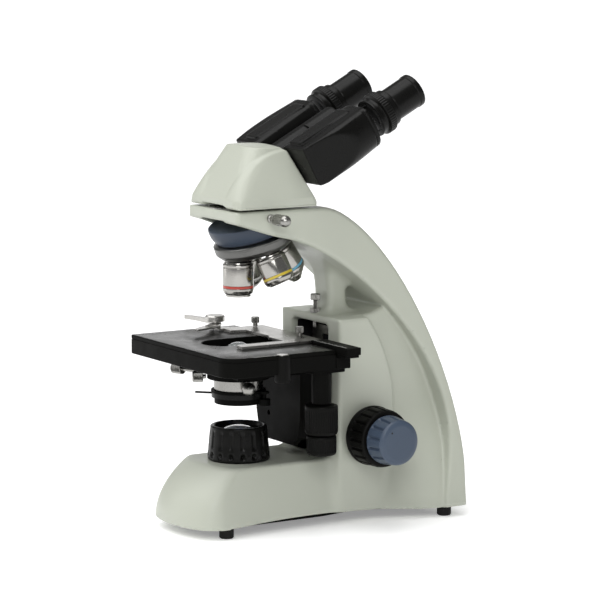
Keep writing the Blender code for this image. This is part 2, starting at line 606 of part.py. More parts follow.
def make_head():
    corners = [(40, -26.5, 266.5), (40, 52, 266.5), (40, 51.8, 270.5), (40, -26.5, 274), (36, -20, 287), (31, 31.5, 309.5)]
    corners += [(27.5, -2, 318.5), (28.5, 25, 316)]
    points = corners + [(-x, y, z) for x, y, z in corners]
    head = add("head_housing", hull(in_mm(points)), "white_paint")
    cut(head, hull(in_mm([(x * 0.88, 1 + (y - 3) * 0.84, 260 + (z - 266.5) * 0.88) for x, y, z in points])))
    cut(head, cylinder(5 * MM, -20 * MM, 20 * MM, 16), at=HINGE_FOOT, turn=TUBE_FRAME)

    ring = [(24, 266.2), (24, 262), (21.5, 258.4), (16, 258.4), (16, 266.2)]
    add("head_dovetail", turned(in_mm(ring), 24, closed=True), "chrome")
    handle = [(0, 69), (3, 68.6), (5.5, 65), (5.6, 48), (4.4, 46.5), (2.5, 46.5), (2.5, 26), (0, 25.4)]
    add("head_lock_screw", turned(in_mm(handle), 20), "chrome", at=(0, 6 * MM, 259.3 * MM), turn=ALONG_X)
    stop = [(0, 188.5), (4.2, 188.5), (4.2, 183.2), (1.8, 182.8), (1.8, 176.5), (4.4, 176.2), (4.4, 172.3), (1.9, 172.3)]
    stop += [(1.9, 160), (0, 160)]
    add("stage_stop_screw", turned(in_mm(stop), 16), "chrome", at=(0, 74.5 * MM, 0))


def housing_points(side):
    """The prism housing in tube coordinates: X across, Z along the tube, and -Y upwards."""
    reach = TUBE_SPACING / 2
    points = []
    for radius, along in ((22, 1.2 * MM), (24, 9 * MM), (21.8, 54 * MM), (19.6, 73 * MM), (18.2, 76 * MM)):
        for step in range(20):
            angle = 2 * math.pi * step / 20
            x = reach + radius * MM * math.cos(angle)
            y = radius * MM * math.sin(angle)
            flat = reach + (14 + 10 * min(along / (60 * MM), 1)) * MM
            points.append((side * min(x, flat), max(y, -(15 + 6 * along / 0.08) * MM), along))
    for along in (1.2, 70):
        points += [(side * 11.5 * MM, -8 * MM, along * MM), (side * 11.5 * MM, 8 * MM, along * MM)]
    return points


def make_binocular():
    add("hinge_axle", cylinder(4.6 * MM, 0.6 * MM, 74 * MM, 20), "steel", at=HINGE_FOOT, turn=TUBE_FRAME)
    for name, side, low, high in (("right", 1, 37.4, 74), ("left", -1, 1.2, 37)):
        housing = add("prism_housing_" + name, hull(housing_points(side)), "black_plastic", at=HINGE_FOOT, turn=TUBE_FRAME)
        knuckle = tube(4.9 * MM, 9.8 * MM, low * MM, high * MM, 24)
        arm = block((min(side * 7, side * 14) * MM, -6 * MM, low * MM), (max(side * 7, side * 14) * MM, 6 * MM, high * MM))
        fuse(housing, knuckle, at=HINGE_FOOT, turn=TUBE_FRAME)
        fuse(housing, arm, at=HINGE_FOOT, turn=TUBE_FRAME)

        across = Vector((side * TUBE_SPACING / 2, 0, 0))
        at = Vector(HINGE_FOOT) + across
        ring = [(16.6, 76.4), (16.6, 82), (18.6, 83), (18.6, 89.5), (16.2, 90.5), (16, 95.6), (11.9, 95.6), (11.9, 76.4)]
        add("dioptre_ring_" + name, turned(in_mm(ring), 24, closed=True), "black_plastic", at=at, turn=TUBE_FRAME)
        piece = [(0, 119.5), (10, 119.5), (12, 124), (13.8, 124.5), (14.7, 123.5), (14.7, 96), (11.6, 96), (11.6, 77), (0, 77)]
        add("eyepiece_" + name, turned(in_mm(piece), 28), "black_plastic", at=at, turn=TUBE_FRAME)


def clear_scene():
    for obj in list(bpy.data.objects):
        bpy.data.objects.remove(obj, do_unlink=True)


clear_scene()
ROOT = bpy.data.objects.new("microscope", None)
bpy.context.scene.collection.objects.link(ROOT)
ROOT.location = (LEVER_OVERHANG / 2, -(BASE_FRONT_Y + ARM_REAR_Y) / 2, 0)

make_stand()
make_underside()
make_lamp()
make_electrics()
make_focus_drive()
make_carrier()
make_upper_stage()
make_slide_holder()
make_condenser()
make_nosepiece()
make_head()
make_binocular()
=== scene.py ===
"""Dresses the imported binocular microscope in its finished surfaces, on a pale studio floor."""

import json
import math
import bmesh
import bpy
import numpy as np
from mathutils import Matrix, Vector

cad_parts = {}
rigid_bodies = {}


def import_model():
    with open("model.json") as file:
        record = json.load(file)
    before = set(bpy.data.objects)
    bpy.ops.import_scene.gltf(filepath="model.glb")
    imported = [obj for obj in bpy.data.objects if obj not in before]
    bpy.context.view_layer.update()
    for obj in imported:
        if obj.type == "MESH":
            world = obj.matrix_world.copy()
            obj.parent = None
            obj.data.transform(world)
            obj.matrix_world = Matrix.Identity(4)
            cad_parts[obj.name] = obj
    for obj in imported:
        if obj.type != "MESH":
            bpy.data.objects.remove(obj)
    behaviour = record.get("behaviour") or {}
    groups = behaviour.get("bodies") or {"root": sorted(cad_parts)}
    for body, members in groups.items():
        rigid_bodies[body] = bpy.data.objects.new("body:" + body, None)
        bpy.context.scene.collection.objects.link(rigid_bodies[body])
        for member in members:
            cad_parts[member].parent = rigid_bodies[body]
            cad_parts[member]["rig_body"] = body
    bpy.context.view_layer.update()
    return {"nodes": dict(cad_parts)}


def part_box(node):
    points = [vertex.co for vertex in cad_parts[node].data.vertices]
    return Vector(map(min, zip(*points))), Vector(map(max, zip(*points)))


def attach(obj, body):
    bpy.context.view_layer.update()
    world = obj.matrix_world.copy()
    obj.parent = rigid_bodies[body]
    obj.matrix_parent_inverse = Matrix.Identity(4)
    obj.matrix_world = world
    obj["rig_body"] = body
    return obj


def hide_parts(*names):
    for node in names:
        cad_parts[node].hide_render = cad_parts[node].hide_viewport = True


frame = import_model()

bl_info = {
    "name": "Binocular Microscope",
    "version": (1, 0, 0),
    "blender": (4, 5, 0),
    "location": "View3D > Sidebar > Microscope",
    "description": "Builds the surfaces, finishes and studio of a binocular microscope",
    "category": "Add Mesh",
}

MM = 0.001
# The optical axis stands where the low-power objective does.
OPTICAL_X, OPTICAL_Y = sum(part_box("objective_4x"), Vector((0, 0, 0))).xy / 2


# ---------------------------------------------------------------- sizes and colours


class MicroscopeSizes(bpy.types.PropertyGroup):
    casting_cell: bpy.props.FloatProperty(
        name="Casting cell", description="Grid cell of the stand casting, in millimetres", default=1.7
    )
    shell_cell: bpy.props.FloatProperty(
        name="Shell cell", description="Grid cell of the head and tube housings, in millimetres", default=0.9
    )
    coarse_flutes: bpy.props.IntProperty(
        name="Coarse flutes", description="Finger flutes round each coarse focus knob", default=20
    )
    fine_flutes: bpy.props.IntProperty(
        name="Fine flutes", description="Finger flutes round each fine focus knob", default=14
    )
    lamp_flutes: bpy.props.IntProperty(
        name="Lamp flutes", description="Finger flutes round the lamp ring", default=16
    )
    edge: bpy.props.FloatProperty(
        name="Edge", description="Scale of the broken edges on machined plates", default=1.0
    )


def colour_property(name, description, default):
    """A colour that the user can change."""
    return bpy.props.FloatVectorProperty(
        name=name, description=description, default=default, subtype="COLOR", min=0.0, max=1.0, size=3
    )


class MicroscopeColours(bpy.types.PropertyGroup):
    paint: colour_property("Paint", "Powder paint of the stand and the head", (0.43, 0.45, 0.385))
    black: colour_property("Black", "Moulded black plastic", (0.0042, 0.0042, 0.0038))
    anodised: colour_property("Anodised", "Black finish of the stage and its parts", (0.004, 0.004, 0.0036))
    knob_blue: colour_property("Knob blue", "Moulded blue of the fine focus knobs", (0.050, 0.070, 0.105))
    dome_blue: colour_property("Dome blue", "Painted blue of the nosepiece cover", (0.036, 0.048, 0.070))


def sizes():
    """The sizes that the scene holds."""
    return bpy.context.scene.microscope_sizes


def colours():
    """The colours that the scene holds."""
    return bpy.context.scene.microscope_colours


# ---------------------------------------------------------------- finishes


def socketed_group(name, inputs, outputs):
    """An empty shader node group with named sockets, and its input and output nodes."""
    group = bpy.data.node_groups.new(name, "ShaderNodeTree")
    for label, kind, value in inputs:
        made = group.interface.new_socket(name=label, in_out="INPUT", socket_type=kind)
        made.default_value = value
    for label, kind in outputs:
        group.interface.new_socket(name=label, in_out="OUTPUT", socket_type=kind)
    return group, group.nodes.new("NodeGroupInput"), group.nodes.new("NodeGroupOutput")


def noise_node(tree, vector, scale, detail):
    """A noise mask at one scale, which is a number or a socket."""
    noise = tree.nodes.new("ShaderNodeTexNoise")
    noise.inputs["Detail"].default_value = detail
    noise.inputs["Roughness"].default_value = 0.6
    tree.links.new(vector, noise.inputs["Vector"])
    if isinstance(scale, (int, float)):
        noise.inputs["Scale"].default_value = scale
    else:
        tree.links.new(scale, noise.inputs["Scale"])
    return noise.outputs["Fac"]


def mapped(tree, value, low, high):
    """Carries a 0.3 to 0.7 mask onto the range between two values."""
    node = tree.nodes.new("ShaderNodeMapRange")
    node.inputs["From Min"].default_value = 0.3
    node.inputs["From Max"].default_value = 0.7
    tree.links.new(value, node.inputs["Value"])
    for socket, end in (("To Min", low), ("To Max", high)):
        if isinstance(end, (int, float)):
            node.inputs[socket].default_value = end
        else:
            tree.links.new(end, node.inputs[socket])
    return node.outputs["Result"]


def arithmetic(tree, operation, first, second):
    """One Math node between two values, each a number or a socket."""
    node = tree.nodes.new("ShaderNodeMath")
    node.operation = operation
    for socket, value in zip(node.inputs, (first, second)):
        if isinstance(value, (int, float)):
            socket.default_value = value
        else:
            tree.links.new(value, socket)
    return node.outputs["Value"]


def surface_group():
    """Handled moulded or painted surface: grain in the relief, cloudy tone, and smudges in the gloss."""
    if "handled_surface" in bpy.data.node_groups:
        return bpy.data.node_groups["handled_surface"]
    group, ins, outs = socketed_group(
        "handled_surface",
        [
            ("Color", "NodeSocketColor", (0.5, 0.5, 0.5, 1)),
            ("Gloss", "NodeSocketFloat", 0.4),
            ("Tone", "NodeSocketFloat", 0.05),
            ("Grain Scale", "NodeSocketFloat", 900.0),
            ("Grain Height", "NodeSocketFloat", 0.2),
            ("Stretch", "NodeSocketVector", (1, 1, 1)),
        ],
        [("Color", "NodeSocketColor"), ("Roughness", "NodeSocketFloat"), ("Normal", "NodeSocketVector")],
    )
    place = group.nodes.new("ShaderNodeTexCoord").outputs["Object"]
    stretched = group.nodes.new("ShaderNodeVectorMath")
    stretched.operation = "MULTIPLY"
    group.links.new(place, stretched.inputs[0])
    group.links.new(ins.outputs["Stretch"], stretched.inputs[1])
    grain = noise_node(group, stretched.outputs[0], ins.outputs["Grain Scale"], 2)
    cloud = noise_node(group, place, 22.0, 4)
    smudge = noise_node(group, place, 90.0, 5)

    shade = arithmetic(group, "MULTIPLY", mapped(group, cloud, -1.0, 1.0), ins.outputs["Tone"])
    fine = arithmetic(group, "MULTIPLY", mapped(group, grain, -0.5, 0.5), ins.outputs["Tone"])
    value = arithmetic(group, "ADD", arithmetic(group, "ADD", shade, fine), 1.0)
    toned = group.nodes.new("ShaderNodeHueSaturation")
    group.links.new(value, toned.inputs["Value"])
    group.links.new(ins.outputs["Color"], toned.inputs["Color"])
    group.links.new(toned.outputs["Color"], outs.inputs["Color"])

    blotch = arithmetic(group, "ADD", mapped(group, smudge, -0.05, 0.05), mapped(group, grain, -0.03, 0.03))
    group.links.new(arithmetic(group, "ADD", blotch, ins.outputs["Gloss"]), outs.inputs["Roughness"])
    bump = group.nodes.new("ShaderNodeBump")
    bump.inputs["Distance"].default_value = 0.0002
    group.links.new(grain, bump.inputs["Height"])
    group.links.new(ins.outputs["Grain Height"], bump.inputs["Strength"])
    group.links.new(bump.outputs["Normal"], outs.inputs["Normal"])
    return group


# A grain that isn't drawn out along any axis.
EVEN = (1, 1, 1)
FINISHES = {
    # name: colour, gloss, tone, grain scale, grain height, stretch, metallic, coat, specular
    "white_paint": ("paint", 0.40, 0.012, 1500.0, 0.10, EVEN, 0.0, 0.05, 0.4),
    "black_plastic": ("black", 0.42, 0.10, 1700.0, 0.16, EVEN, 0.0, 0.0, 0.06),
    "smooth_black": ("black", 0.30, 0.08, 1400.0, 0.05, EVEN, 0.0, 0.03, 0.12),
    "black_anodised": ("anodised", 0.46, 0.10, 2600.0, 0.12, EVEN, 0.0, 0.0, 0.03),
    "stage_black": ((0.008, 0.008, 0.0075), 0.30, 0.10, 3000.0, 0.06, EVEN, 0.0, 0.0, 0.6),
    "blue_plastic": ("knob_blue", 0.38, 0.05, 1300.0, 0.08, EVEN, 0.0, 0.05, 0.3),
    "dome_paint": ("dome_blue", 0.42, 0.05, 1800.0, 0.10, EVEN, 0.0, 0.05, 0.25),
    "steel": ((0.46, 0.45, 0.43), 0.30, 0.06, 900.0, 0.10, (1, 6, 1), 1.0, 0.0, 0.5),
    "turned_steel": ((0.30, 0.295, 0.28), 0.28, 0.07, 700.0, 0.10, (0.6, 0.6, 7), 1.0, 0.0, 0.5),
    "chrome": ((0.36, 0.35, 0.33), 0.20, 0.04, 600.0, 0.04, (1, 1, 5), 1.0, 0.0, 0.5),
    "dark_steel": ((0.13, 0.13, 0.125), 0.33, 0.07, 700.0, 0.12, (0.6, 0.6, 7), 1.0, 0.0, 0.5),
    "brass": ((0.66, 0.46, 0.2), 0.3, 0.08, 900.0, 0.1, (1, 1, 5), 1.0, 0.0, 0.5),
    # The rubber black also serves as painted shade in the focus slot and in the nosepiece gap.
    "rubber": ((0.008, 0.008, 0.008), 0.72, 0.2, 1200.0, 0.4, EVEN, 0.0, 0.0, 0.2),
    "led_board": ((0.75, 0.72, 0.5), 0.5, 0.1, 700.0, 0.2, EVEN, 0.0, 0.0, 0.5),
    "red_enamel": ((0.42, 0.035, 0.02), 0.3, 0.05, 900.0, 0.1, EVEN, 0.0, 0.2, 0.5),
    "yellow_enamel": ((0.55, 0.42, 0.04), 0.3, 0.05, 900.0, 0.1, EVEN, 0.0, 0.2, 0.5),
    "cyan_enamel": ((0.10, 0.33, 0.48), 0.3, 0.05, 900.0, 0.1, EVEN, 0.0, 0.2, 0.5),
    "white_enamel": ((0.75, 0.75, 0.72), 0.3, 0.05, 900.0, 0.1, EVEN, 0.0, 0.2, 0.5),
    "engraving": ((0.02, 0.02, 0.02), 0.6, 0.2, 900.0, 0.1, EVEN, 0.0, 0.0, 0.3),
    "scale_ink": ((0.55, 0.55, 0.53), 0.5, 0.1, 900.0, 0.1, EVEN, 0.0, 0.0, 0.3),
}


def surface_node(tree, colour, values):
    """The shared surface, placed in a material with its own colour and values."""
    node = tree.nodes.new("ShaderNodeGroup")
    node.node_tree = surface_group()
    node.inputs["Color"].default_value = (*colour, 1)
    for socket, value in values.items():
        node.inputs[socket].default_value = value
    return node


def finish(name):
    """The material of one finish, made when first asked for."""
    made = name + "_finish"
    if made in bpy.data.materials:
        return bpy.data.materials[made]
    colour, gloss, tone, scale, height, stretch, metallic, coat, specular = FINISHES[name]
    if isinstance(colour, str):
        colour = getattr(colours(), colour)
    material = bpy.data.materials.new(made)
    material.use_nodes = True
    tree = material.node_tree
    shader = tree.nodes["Principled BSDF"]
    shader.inputs["Metallic"].default_value = metallic
    shader.inputs["Coat Weight"].default_value = coat
    shader.inputs["Coat Roughness"].default_value = 0.22
    shader.inputs["Specular IOR Level"].default_value = specular
    values = {"Gloss": gloss, "Tone": tone, "Grain Scale": scale, "Grain Height": height, "Stretch": stretch}
    surface = surface_node(tree, colour, values)
    for source, target in (("Color", "Base Color"), ("Roughness", "Roughness"), ("Normal", "Normal")):
        tree.links.new(surface.outputs[source], shader.inputs[target])
    return material


def glass(name, colour, weight):
    """Coated lens glass with faint dust."""
    if name in bpy.data.materials:
        return bpy.data.materials[name]
    material = bpy.data.materials.new(name)
    material.use_nodes = True
    tree = material.node_tree
    shader = tree.nodes["Principled BSDF"]
    shader.inputs["Transmission Weight"].default_value = weight
    shader.inputs["IOR"].default_value = 1.5
    shader.inputs["Coat Weight"].default_value = 0.6
    surface = surface_node(tree, colour, {"Gloss": 0.08, "Tone": 0.03, "Grain Height": 0.0})
    for source, target in (("Color", "Base Color"), ("Roughness", "Roughness")):
        tree.links.new(surface.outputs[source], shader.inputs[target])
    return material


# ---------------------------------------------------------------- making pieces


def to_frame(points):
    """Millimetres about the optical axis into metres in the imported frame."""
    return np.asarray(points, float) * MM + (OPTICAL_X, OPTICAL_Y, 0.0)


def centre_of(node):
    """The middle of a node's box across the floor, in millimetres about the optical axis, at height 0."""
    low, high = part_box(node)
    middle = (low + high) / 2
    return (middle.x - OPTICAL_X) / MM, (middle.y - OPTICAL_Y) / MM, 0


def piece(name, surface, material, body, replaces=(), sharp=32.0, merge=True):
    """A finished mesh object that rides on a body.

    The surface is (points, faces), in millimetres about the optical axis. The material is glass or
    the name of a finish.
    """
    points, faces = surface
    mesh = bpy.data.meshes.new(name)
    mesh.from_pydata(to_frame(points), [], faces.tolist() if isinstance(faces, np.ndarray) else faces)
    obj = bpy.data.objects.new(name, mesh)
    bpy.context.scene.collection.objects.link(obj)
    if merge:
        tidy_mesh(mesh)
    mesh.materials.append(finish(material) if isinstance(material, str) else material)
    mesh.shade_smooth()
    if sharp:
        mesh.set_sharp_from_angle(angle=math.radians(sharp))
    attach(obj, body)
    if replaces:
        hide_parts(*([replaces] if isinstance(replaces, str) else replaces))
    return obj


def tidy_mesh(mesh):
    """Closes the poles and seams of a grid, then turns every face outwards."""
    bm = bmesh.new()
    bm.from_mesh(mesh)
    bmesh.ops.remove_doubles(bm, verts=bm.verts, dist=0.000004)
    bmesh.ops.dissolve_degenerate(bm, edges=bm.edges, dist=0.000002)
    bmesh.ops.recalc_face_normals(bm, faces=bm.faces)
    bm.to_mesh(mesh)
    bm.free()


def softened(profile, radius, closed=False):
    """A profile whose corners are cut by short parabolas, so that edges catch the light."""
    p = np.asarray(profile, float)
    back = np.roll(p, 1, 0) - p
    on = np.roll(p, -1, 0) - p
    length_back = np.maximum(np.hypot(*back.T), 1e-9)
    length_on = np.maximum(np.hypot(*on.T), 1e-9)
    reach = np.minimum(radius, 0.42 * np.minimum(length_back, length_on))
    if not closed:
        reach[[0, -1]] = 0
    start = p + back * (reach / length_back)[:, None]
    end = p + on * (reach / length_on)[:, None]
    t = np.linspace(0, 1, 4)[None, :, None]
    curve = (1 - t) ** 2 * start[:, None] + 2 * t * (1 - t) * p[:, None] + t * t * end[:, None]
    return curve.reshape(-1, 2)


def resampled(profile, step):
    """The same profile with extra points so that no stretch is longer than step."""
    p = np.asarray(profile, float)
    along = np.concatenate([[0], np.cumsum(np.hypot(*np.diff(p, axis=0).T))])
    extra = np.arange(0, along[-1], step)
    where = np.unique(np.round(np.concatenate([along, extra]), 5))
    keep = np.concatenate([[True], np.diff(along) > 1e-7])
    return np.stack([np.interp(where, along[keep], p[keep, i]) for i in (0, 1)], 1)


UPRIGHT = np.eye(3)


def tilted(axis, across=(1.0, 0.0, 0.0)):
    """A frame whose third column is the axis and whose first lies as near across as it can."""
    z = np.asarray(axis, float) / np.linalg.norm(axis)
    x = np.asarray(across, float) - np.dot(across, z) * z
    x /= np.linalg.norm(x)
    return np.stack([x, np.cross(z, x), z], 1)


def band_faces(rows, count, closed=False):
    """Faces between rows of points that run round once. A closed skin joins its last row to its first."""
    row = np.arange(rows if closed else rows - 1)[:, None]
    column = np.arange(count)[None]
    after, up = (column + 1) % count, (row + 1) % rows
    faces = [row * count + column, row * count + after, up * count + after, up * count + column]
    return np.stack(faces, -1).reshape(-1, 4)


def turned(profile, steps=64, at=(0, 0, 0), turn=UPRIGHT, ripple=None, soft=0.35, fine=None, closed=False):
    """A surface of revolution: (r(s) cos a, r(s) sin a, z(s)) for angle a and place s along the profile.

    ripple(a, r, z) adds millimetres to the radius. A profile that isn't closed starts and ends on the axis.
    """
    line = softened(profile, soft, closed)
    if closed:
        line = np.concatenate([line, line[:1]])
    if fine:
        line = resampled(line, fine)
    angle = np.linspace(0, 2 * math.pi, steps, endpoint=False)
    r, a = np.meshgrid(line[:, 0], angle, indexing="ij")
    z = np.repeat(line[:, 1][:, None], steps, 1)
    if ripple is not None:
        r = r + np.where(r > 0.01, ripple(a, r, z), 0.0)
    local = np.stack([r * np.cos(a), r * np.sin(a), z], -1).reshape(-1, 3)
    return local @ turn.T + np.asarray(at, float), band_faces(len(line), steps)


def flutes(count, depth, low, high, width, fade, beyond=0.0):
    """Scallops of one depth between two heights, outside a radius, fading out at both ends."""

    def ripple(a, r, z):
        ends = np.clip((z - low) / fade, 0, 1) * np.clip((high - z) / fade, 0, 1)
        wave = np.cos(count * a)
        return -depth * (r > beyond) * ends * np.clip((wave - 1 + 2 * width) / (2 * width), 0, 1) ** 0.7

    return ripple


def ribs(count, depth, low, high, beyond=0.0):
    """Straight knurling between two heights, outside a radius: a cosine wave round the axis."""

    def ripple(a, r, z):
        return -depth * ((z > low) & (z < high) & (r > beyond)) * (0.5 - 0.5 * np.cos(count * a))

    return ripple


def machined(node, material, width):
    """A machined part: the CAD solid's own shape with its edges broken."""
    source = frame["nodes"][node]
    bm = bmesh.new()
    bm.from_mesh(source.data)
    bmesh.ops.remove_doubles(bm, verts=bm.verts, dist=0.00002)
    bmesh.ops.dissolve_limit(bm, angle_limit=math.radians(1.0), verts=bm.verts, edges=bm.edges)
    mesh = bpy.data.meshes.new(node + "_finished")
    bm.to_mesh(mesh)
    bm.free()
    obj = bpy.data.objects.new(mesh.name, mesh)
    bpy.context.scene.collection.objects.link(obj)
    mesh.materials.append(finish(material))
    mesh.shade_smooth()
    bevel = obj.modifiers.new("broken_edges", "BEVEL")
    bevel.width = width * sizes().edge * MM
    bevel.segments = 2
    bevel.limit_method = "ANGLE"
    bevel.angle_limit = math.radians(32)
    bevel.use_clamp_overlap = True
    normals = obj.modifiers.new("flat_faces", "WEIGHTED_NORMAL")
    normals.keep_sharp = False
    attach(obj, source["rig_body"])
    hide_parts(node)
    return obj


def dress(node, material):
    """Gives a CAD solid that keeps its shape its finish."""
    obj = frame["nodes"][node]
    obj.data.materials.clear()
    obj.data.materials.append(finish(material) if isinstance(material, str) else material)


# ---------------------------------------------------------------- level surfaces


def round_max(a, b, radius):
    """The larger of two distances, with the convex edge between them rounded to a radius."""
    return np.minimum(np.maximum(a, b), -radius) + np.hypot(
        np.maximum(a + radius, 0), np.maximum(b + radius, 0)
    )


def round_min(a, b, radius):
    """The smaller of two distances, with the hollow corner between them filled to a radius."""
    return -round_max(-a, -b, radius)


def outline_distance(a, b, outline):
    """Signed distance from points (a, b) to a closed outline: negative inside, by counting crossings."""
    p = np.asarray(outline, float)
    q = np.roll(p, -1, 0)
    e = q - p
    wa = np.asarray(a)[..., None] - p[:, 0]
    wb = np.asarray(b)[..., None] - p[:, 1]
    t = np.clip((wa * e[:, 0] + wb * e[:, 1]) / np.maximum((e * e).sum(1), 1e-12), 0, 1)
    nearest = np.sqrt(((wa - t * e[:, 0]) ** 2 + (wb - t * e[:, 1]) ** 2).min(-1))
    rising = (p[:, 1] <= np.asarray(b)[..., None]) != (q[:, 1] <= np.asarray(b)[..., None])
    slope = e[:, 0] / np.where(e[:, 1] == 0, 1e-12, e[:, 1])
    crossings = (rising & (wa < wb * slope)).sum(-1)
    return np.where(crossings % 2 == 1, -nearest, nearest)


def bezier(*points, steps=16):
    """A cubic Bezier curve through its two end points, as an array of points."""
    a, b, c, d = (np.asarray(point, float) for point in points)
    t = np.linspace(0, 1, steps + 1)[:, None]
    return (1 - t) ** 3 * a + 3 * t * (1 - t) ** 2 * b + 3 * t * t * (1 - t) * c + t**3 * d


def level_surface(field, low, high, cell, rounds=4):
    """The surface where field(x, y, z) is zero.

    One vertex stands in each grid cell that the surface crosses, and each grid edge that it crosses carries a
    face between the four cells round it. Newton steps along the field's gradient then put the vertices on it.
    """
    low = np.asarray(low, float)
    axes = [np.arange(start, stop + cell, cell) for start, stop in zip(low, high)]
    value = field(axes[0][:, None, None], axes[1][None, :, None], axes[2][None, None, :])
    inside = np.broadcast_to(value < 0, [len(axis) for axis in axes])
    ends = (slice(0, -1), slice(1, None))
    corners = sum(inside[i, j, k].astype(np.int8) for i in ends for j in ends for k in ends)
    crossed = (corners > 0) & (corners < 8)
    index = np.full(crossed.shape, -1)
    index[crossed] = np.arange(crossed.sum())
    points = low + (np.argwhere(crossed) + 0.5) * cell
    faces = []
    for axis in range(3):
        order = [axis, (axis + 1) % 3, (axis + 2) % 3]
        here = np.transpose(inside, order)
        cells = np.transpose(index, order)
        change = here[1:, 1:-1, 1:-1] != here[:-1, 1:-1, 1:-1]
        i, j, k = np.nonzero(change)
        j, k = j + 1, k + 1
        quad = np.stack([cells[i, j - 1, k - 1], cells[i, j, k - 1], cells[i, j, k], cells[i, j - 1, k]], 1)
        leaving = here[i, j, k]
        faces.append(np.where(leaving[:, None], quad, quad[:, ::-1]))
    step = 0.05 * cell
    for _ in range(rounds):
        x, y, z = points.T
        slope = np.stack(
            [
                field(x + step, y, z) - field(x - step, y, z),
                field(x, y + step, z) - field(x, y - step, z),
                field(x, y, z + step) - field(x, y, z - step),
            ],
            1,
        ) / (2 * step)
        size = np.maximum((slope * slope).sum(1), 0.05)
        move = slope * (field(x, y, z) / size)[:, None]
        length = np.maximum(np.linalg.norm(move, axis=1), 1e-9)
        points = points - move * np.minimum(1, 0.8 * cell / length)[:, None]
    return points, np.concatenate(faces)


# ---------------------------------------------------------------- stand

ARM_CENTRE_Y, ARM_REAR_Y, ARM_TOP_Z, ARM_SPRING_Z, ARM_POWER = 60.0, 184.4, 265.0, 45.0, 1.6
PILLAR_FRONT, PILLAR_TOP = 69.5, 172.0
TILT = math.radians(17)
APEX_Z = 285.8
TURRET_AXIS = np.array([0.0, math.sin(TILT), -math.cos(TILT)])
FOCUS_Y, FOCUS_Z, FOCUS_RECESS_R, FOCUS_RECESS_X = 95.5, 75.0, 21.5, 46.2
CASTING_LOW, CASTING_HIGH = (-71, -70, 5), (71, 188, 268)
DECK_Z = 56.0
SLOT_HALF_WIDTH, SLOT_HALF_HEIGHT, SLOT_Z, SLOT_FRONT_Y, SLOT_BACK_Y = 27.5, 58.0, 108.0, 66.0, 88.0
WELL_R, WELL_FLARE, WELL_TOP_Z, WELL_REACH = 36.4, 0.27, 256.5, 106.0


def arm_outline():
    """Side view of the arm: a superellipse outside, Bezier sweeps inside."""
    angle = np.radians(np.linspace(0, 90, 25))
    outer = np.stack(
        [
            ARM_CENTRE_Y + (ARM_REAR_Y - ARM_CENTRE_Y) * np.sin(angle) ** (2 / ARM_POWER),
            ARM_SPRING_Z + (ARM_TOP_Z - ARM_SPRING_Z) * np.abs(np.cos(angle)) ** (2 / ARM_POWER),
        ],
        1,
    )
    foot = bezier((162, 8), (163, 28), (170, 48), (170, 72), steps=6)
    sweep = bezier((170, 72), (170, 150), (75, 232), (20, 242), steps=22)
    lip = bezier((20, 242), (8, 244), (-6, 250), (-24, 255.5), steps=6)
    return np.concatenate([[(-24, ARM_TOP_Z)], outer, [(183.4, 8)], foot, sweep[1:], lip[1:]])


ARM = arm_outline()
PILLAR = np.concatenate(
    [
        [(PILLAR_FRONT, 8)], bezier((97, 8), (135, 70), (130, 130), (98, 172), steps=16),
        [(PILLAR_FRONT, PILLAR_TOP)]
    ]
)
WEB = np.array(
    [
        (90, 8), (166, 8), (172, 40), (174, 75), (168, 110), (145, 160), (126, 181), (116, 178),
        (108, 174.5), (90, 171)
    ]
)
NECK = np.concatenate(
    [
        [(76, 164)],
        bezier((76, 170), (83, 176), (82.5, 200), (70, 232), steps=10),
        bezier((112, 214), (99, 204), (92, 186), (105, 170), steps=10),
        [(107, 164)],
    ]
)


def smooth_step(value):
    """Runs from 0 to 1 with level ends: 3v^2 - 2v^3 of the value held between 0 and 1."""
    value = np.clip(value, 0, 1)
    return value * value * (3 - 2 * value)


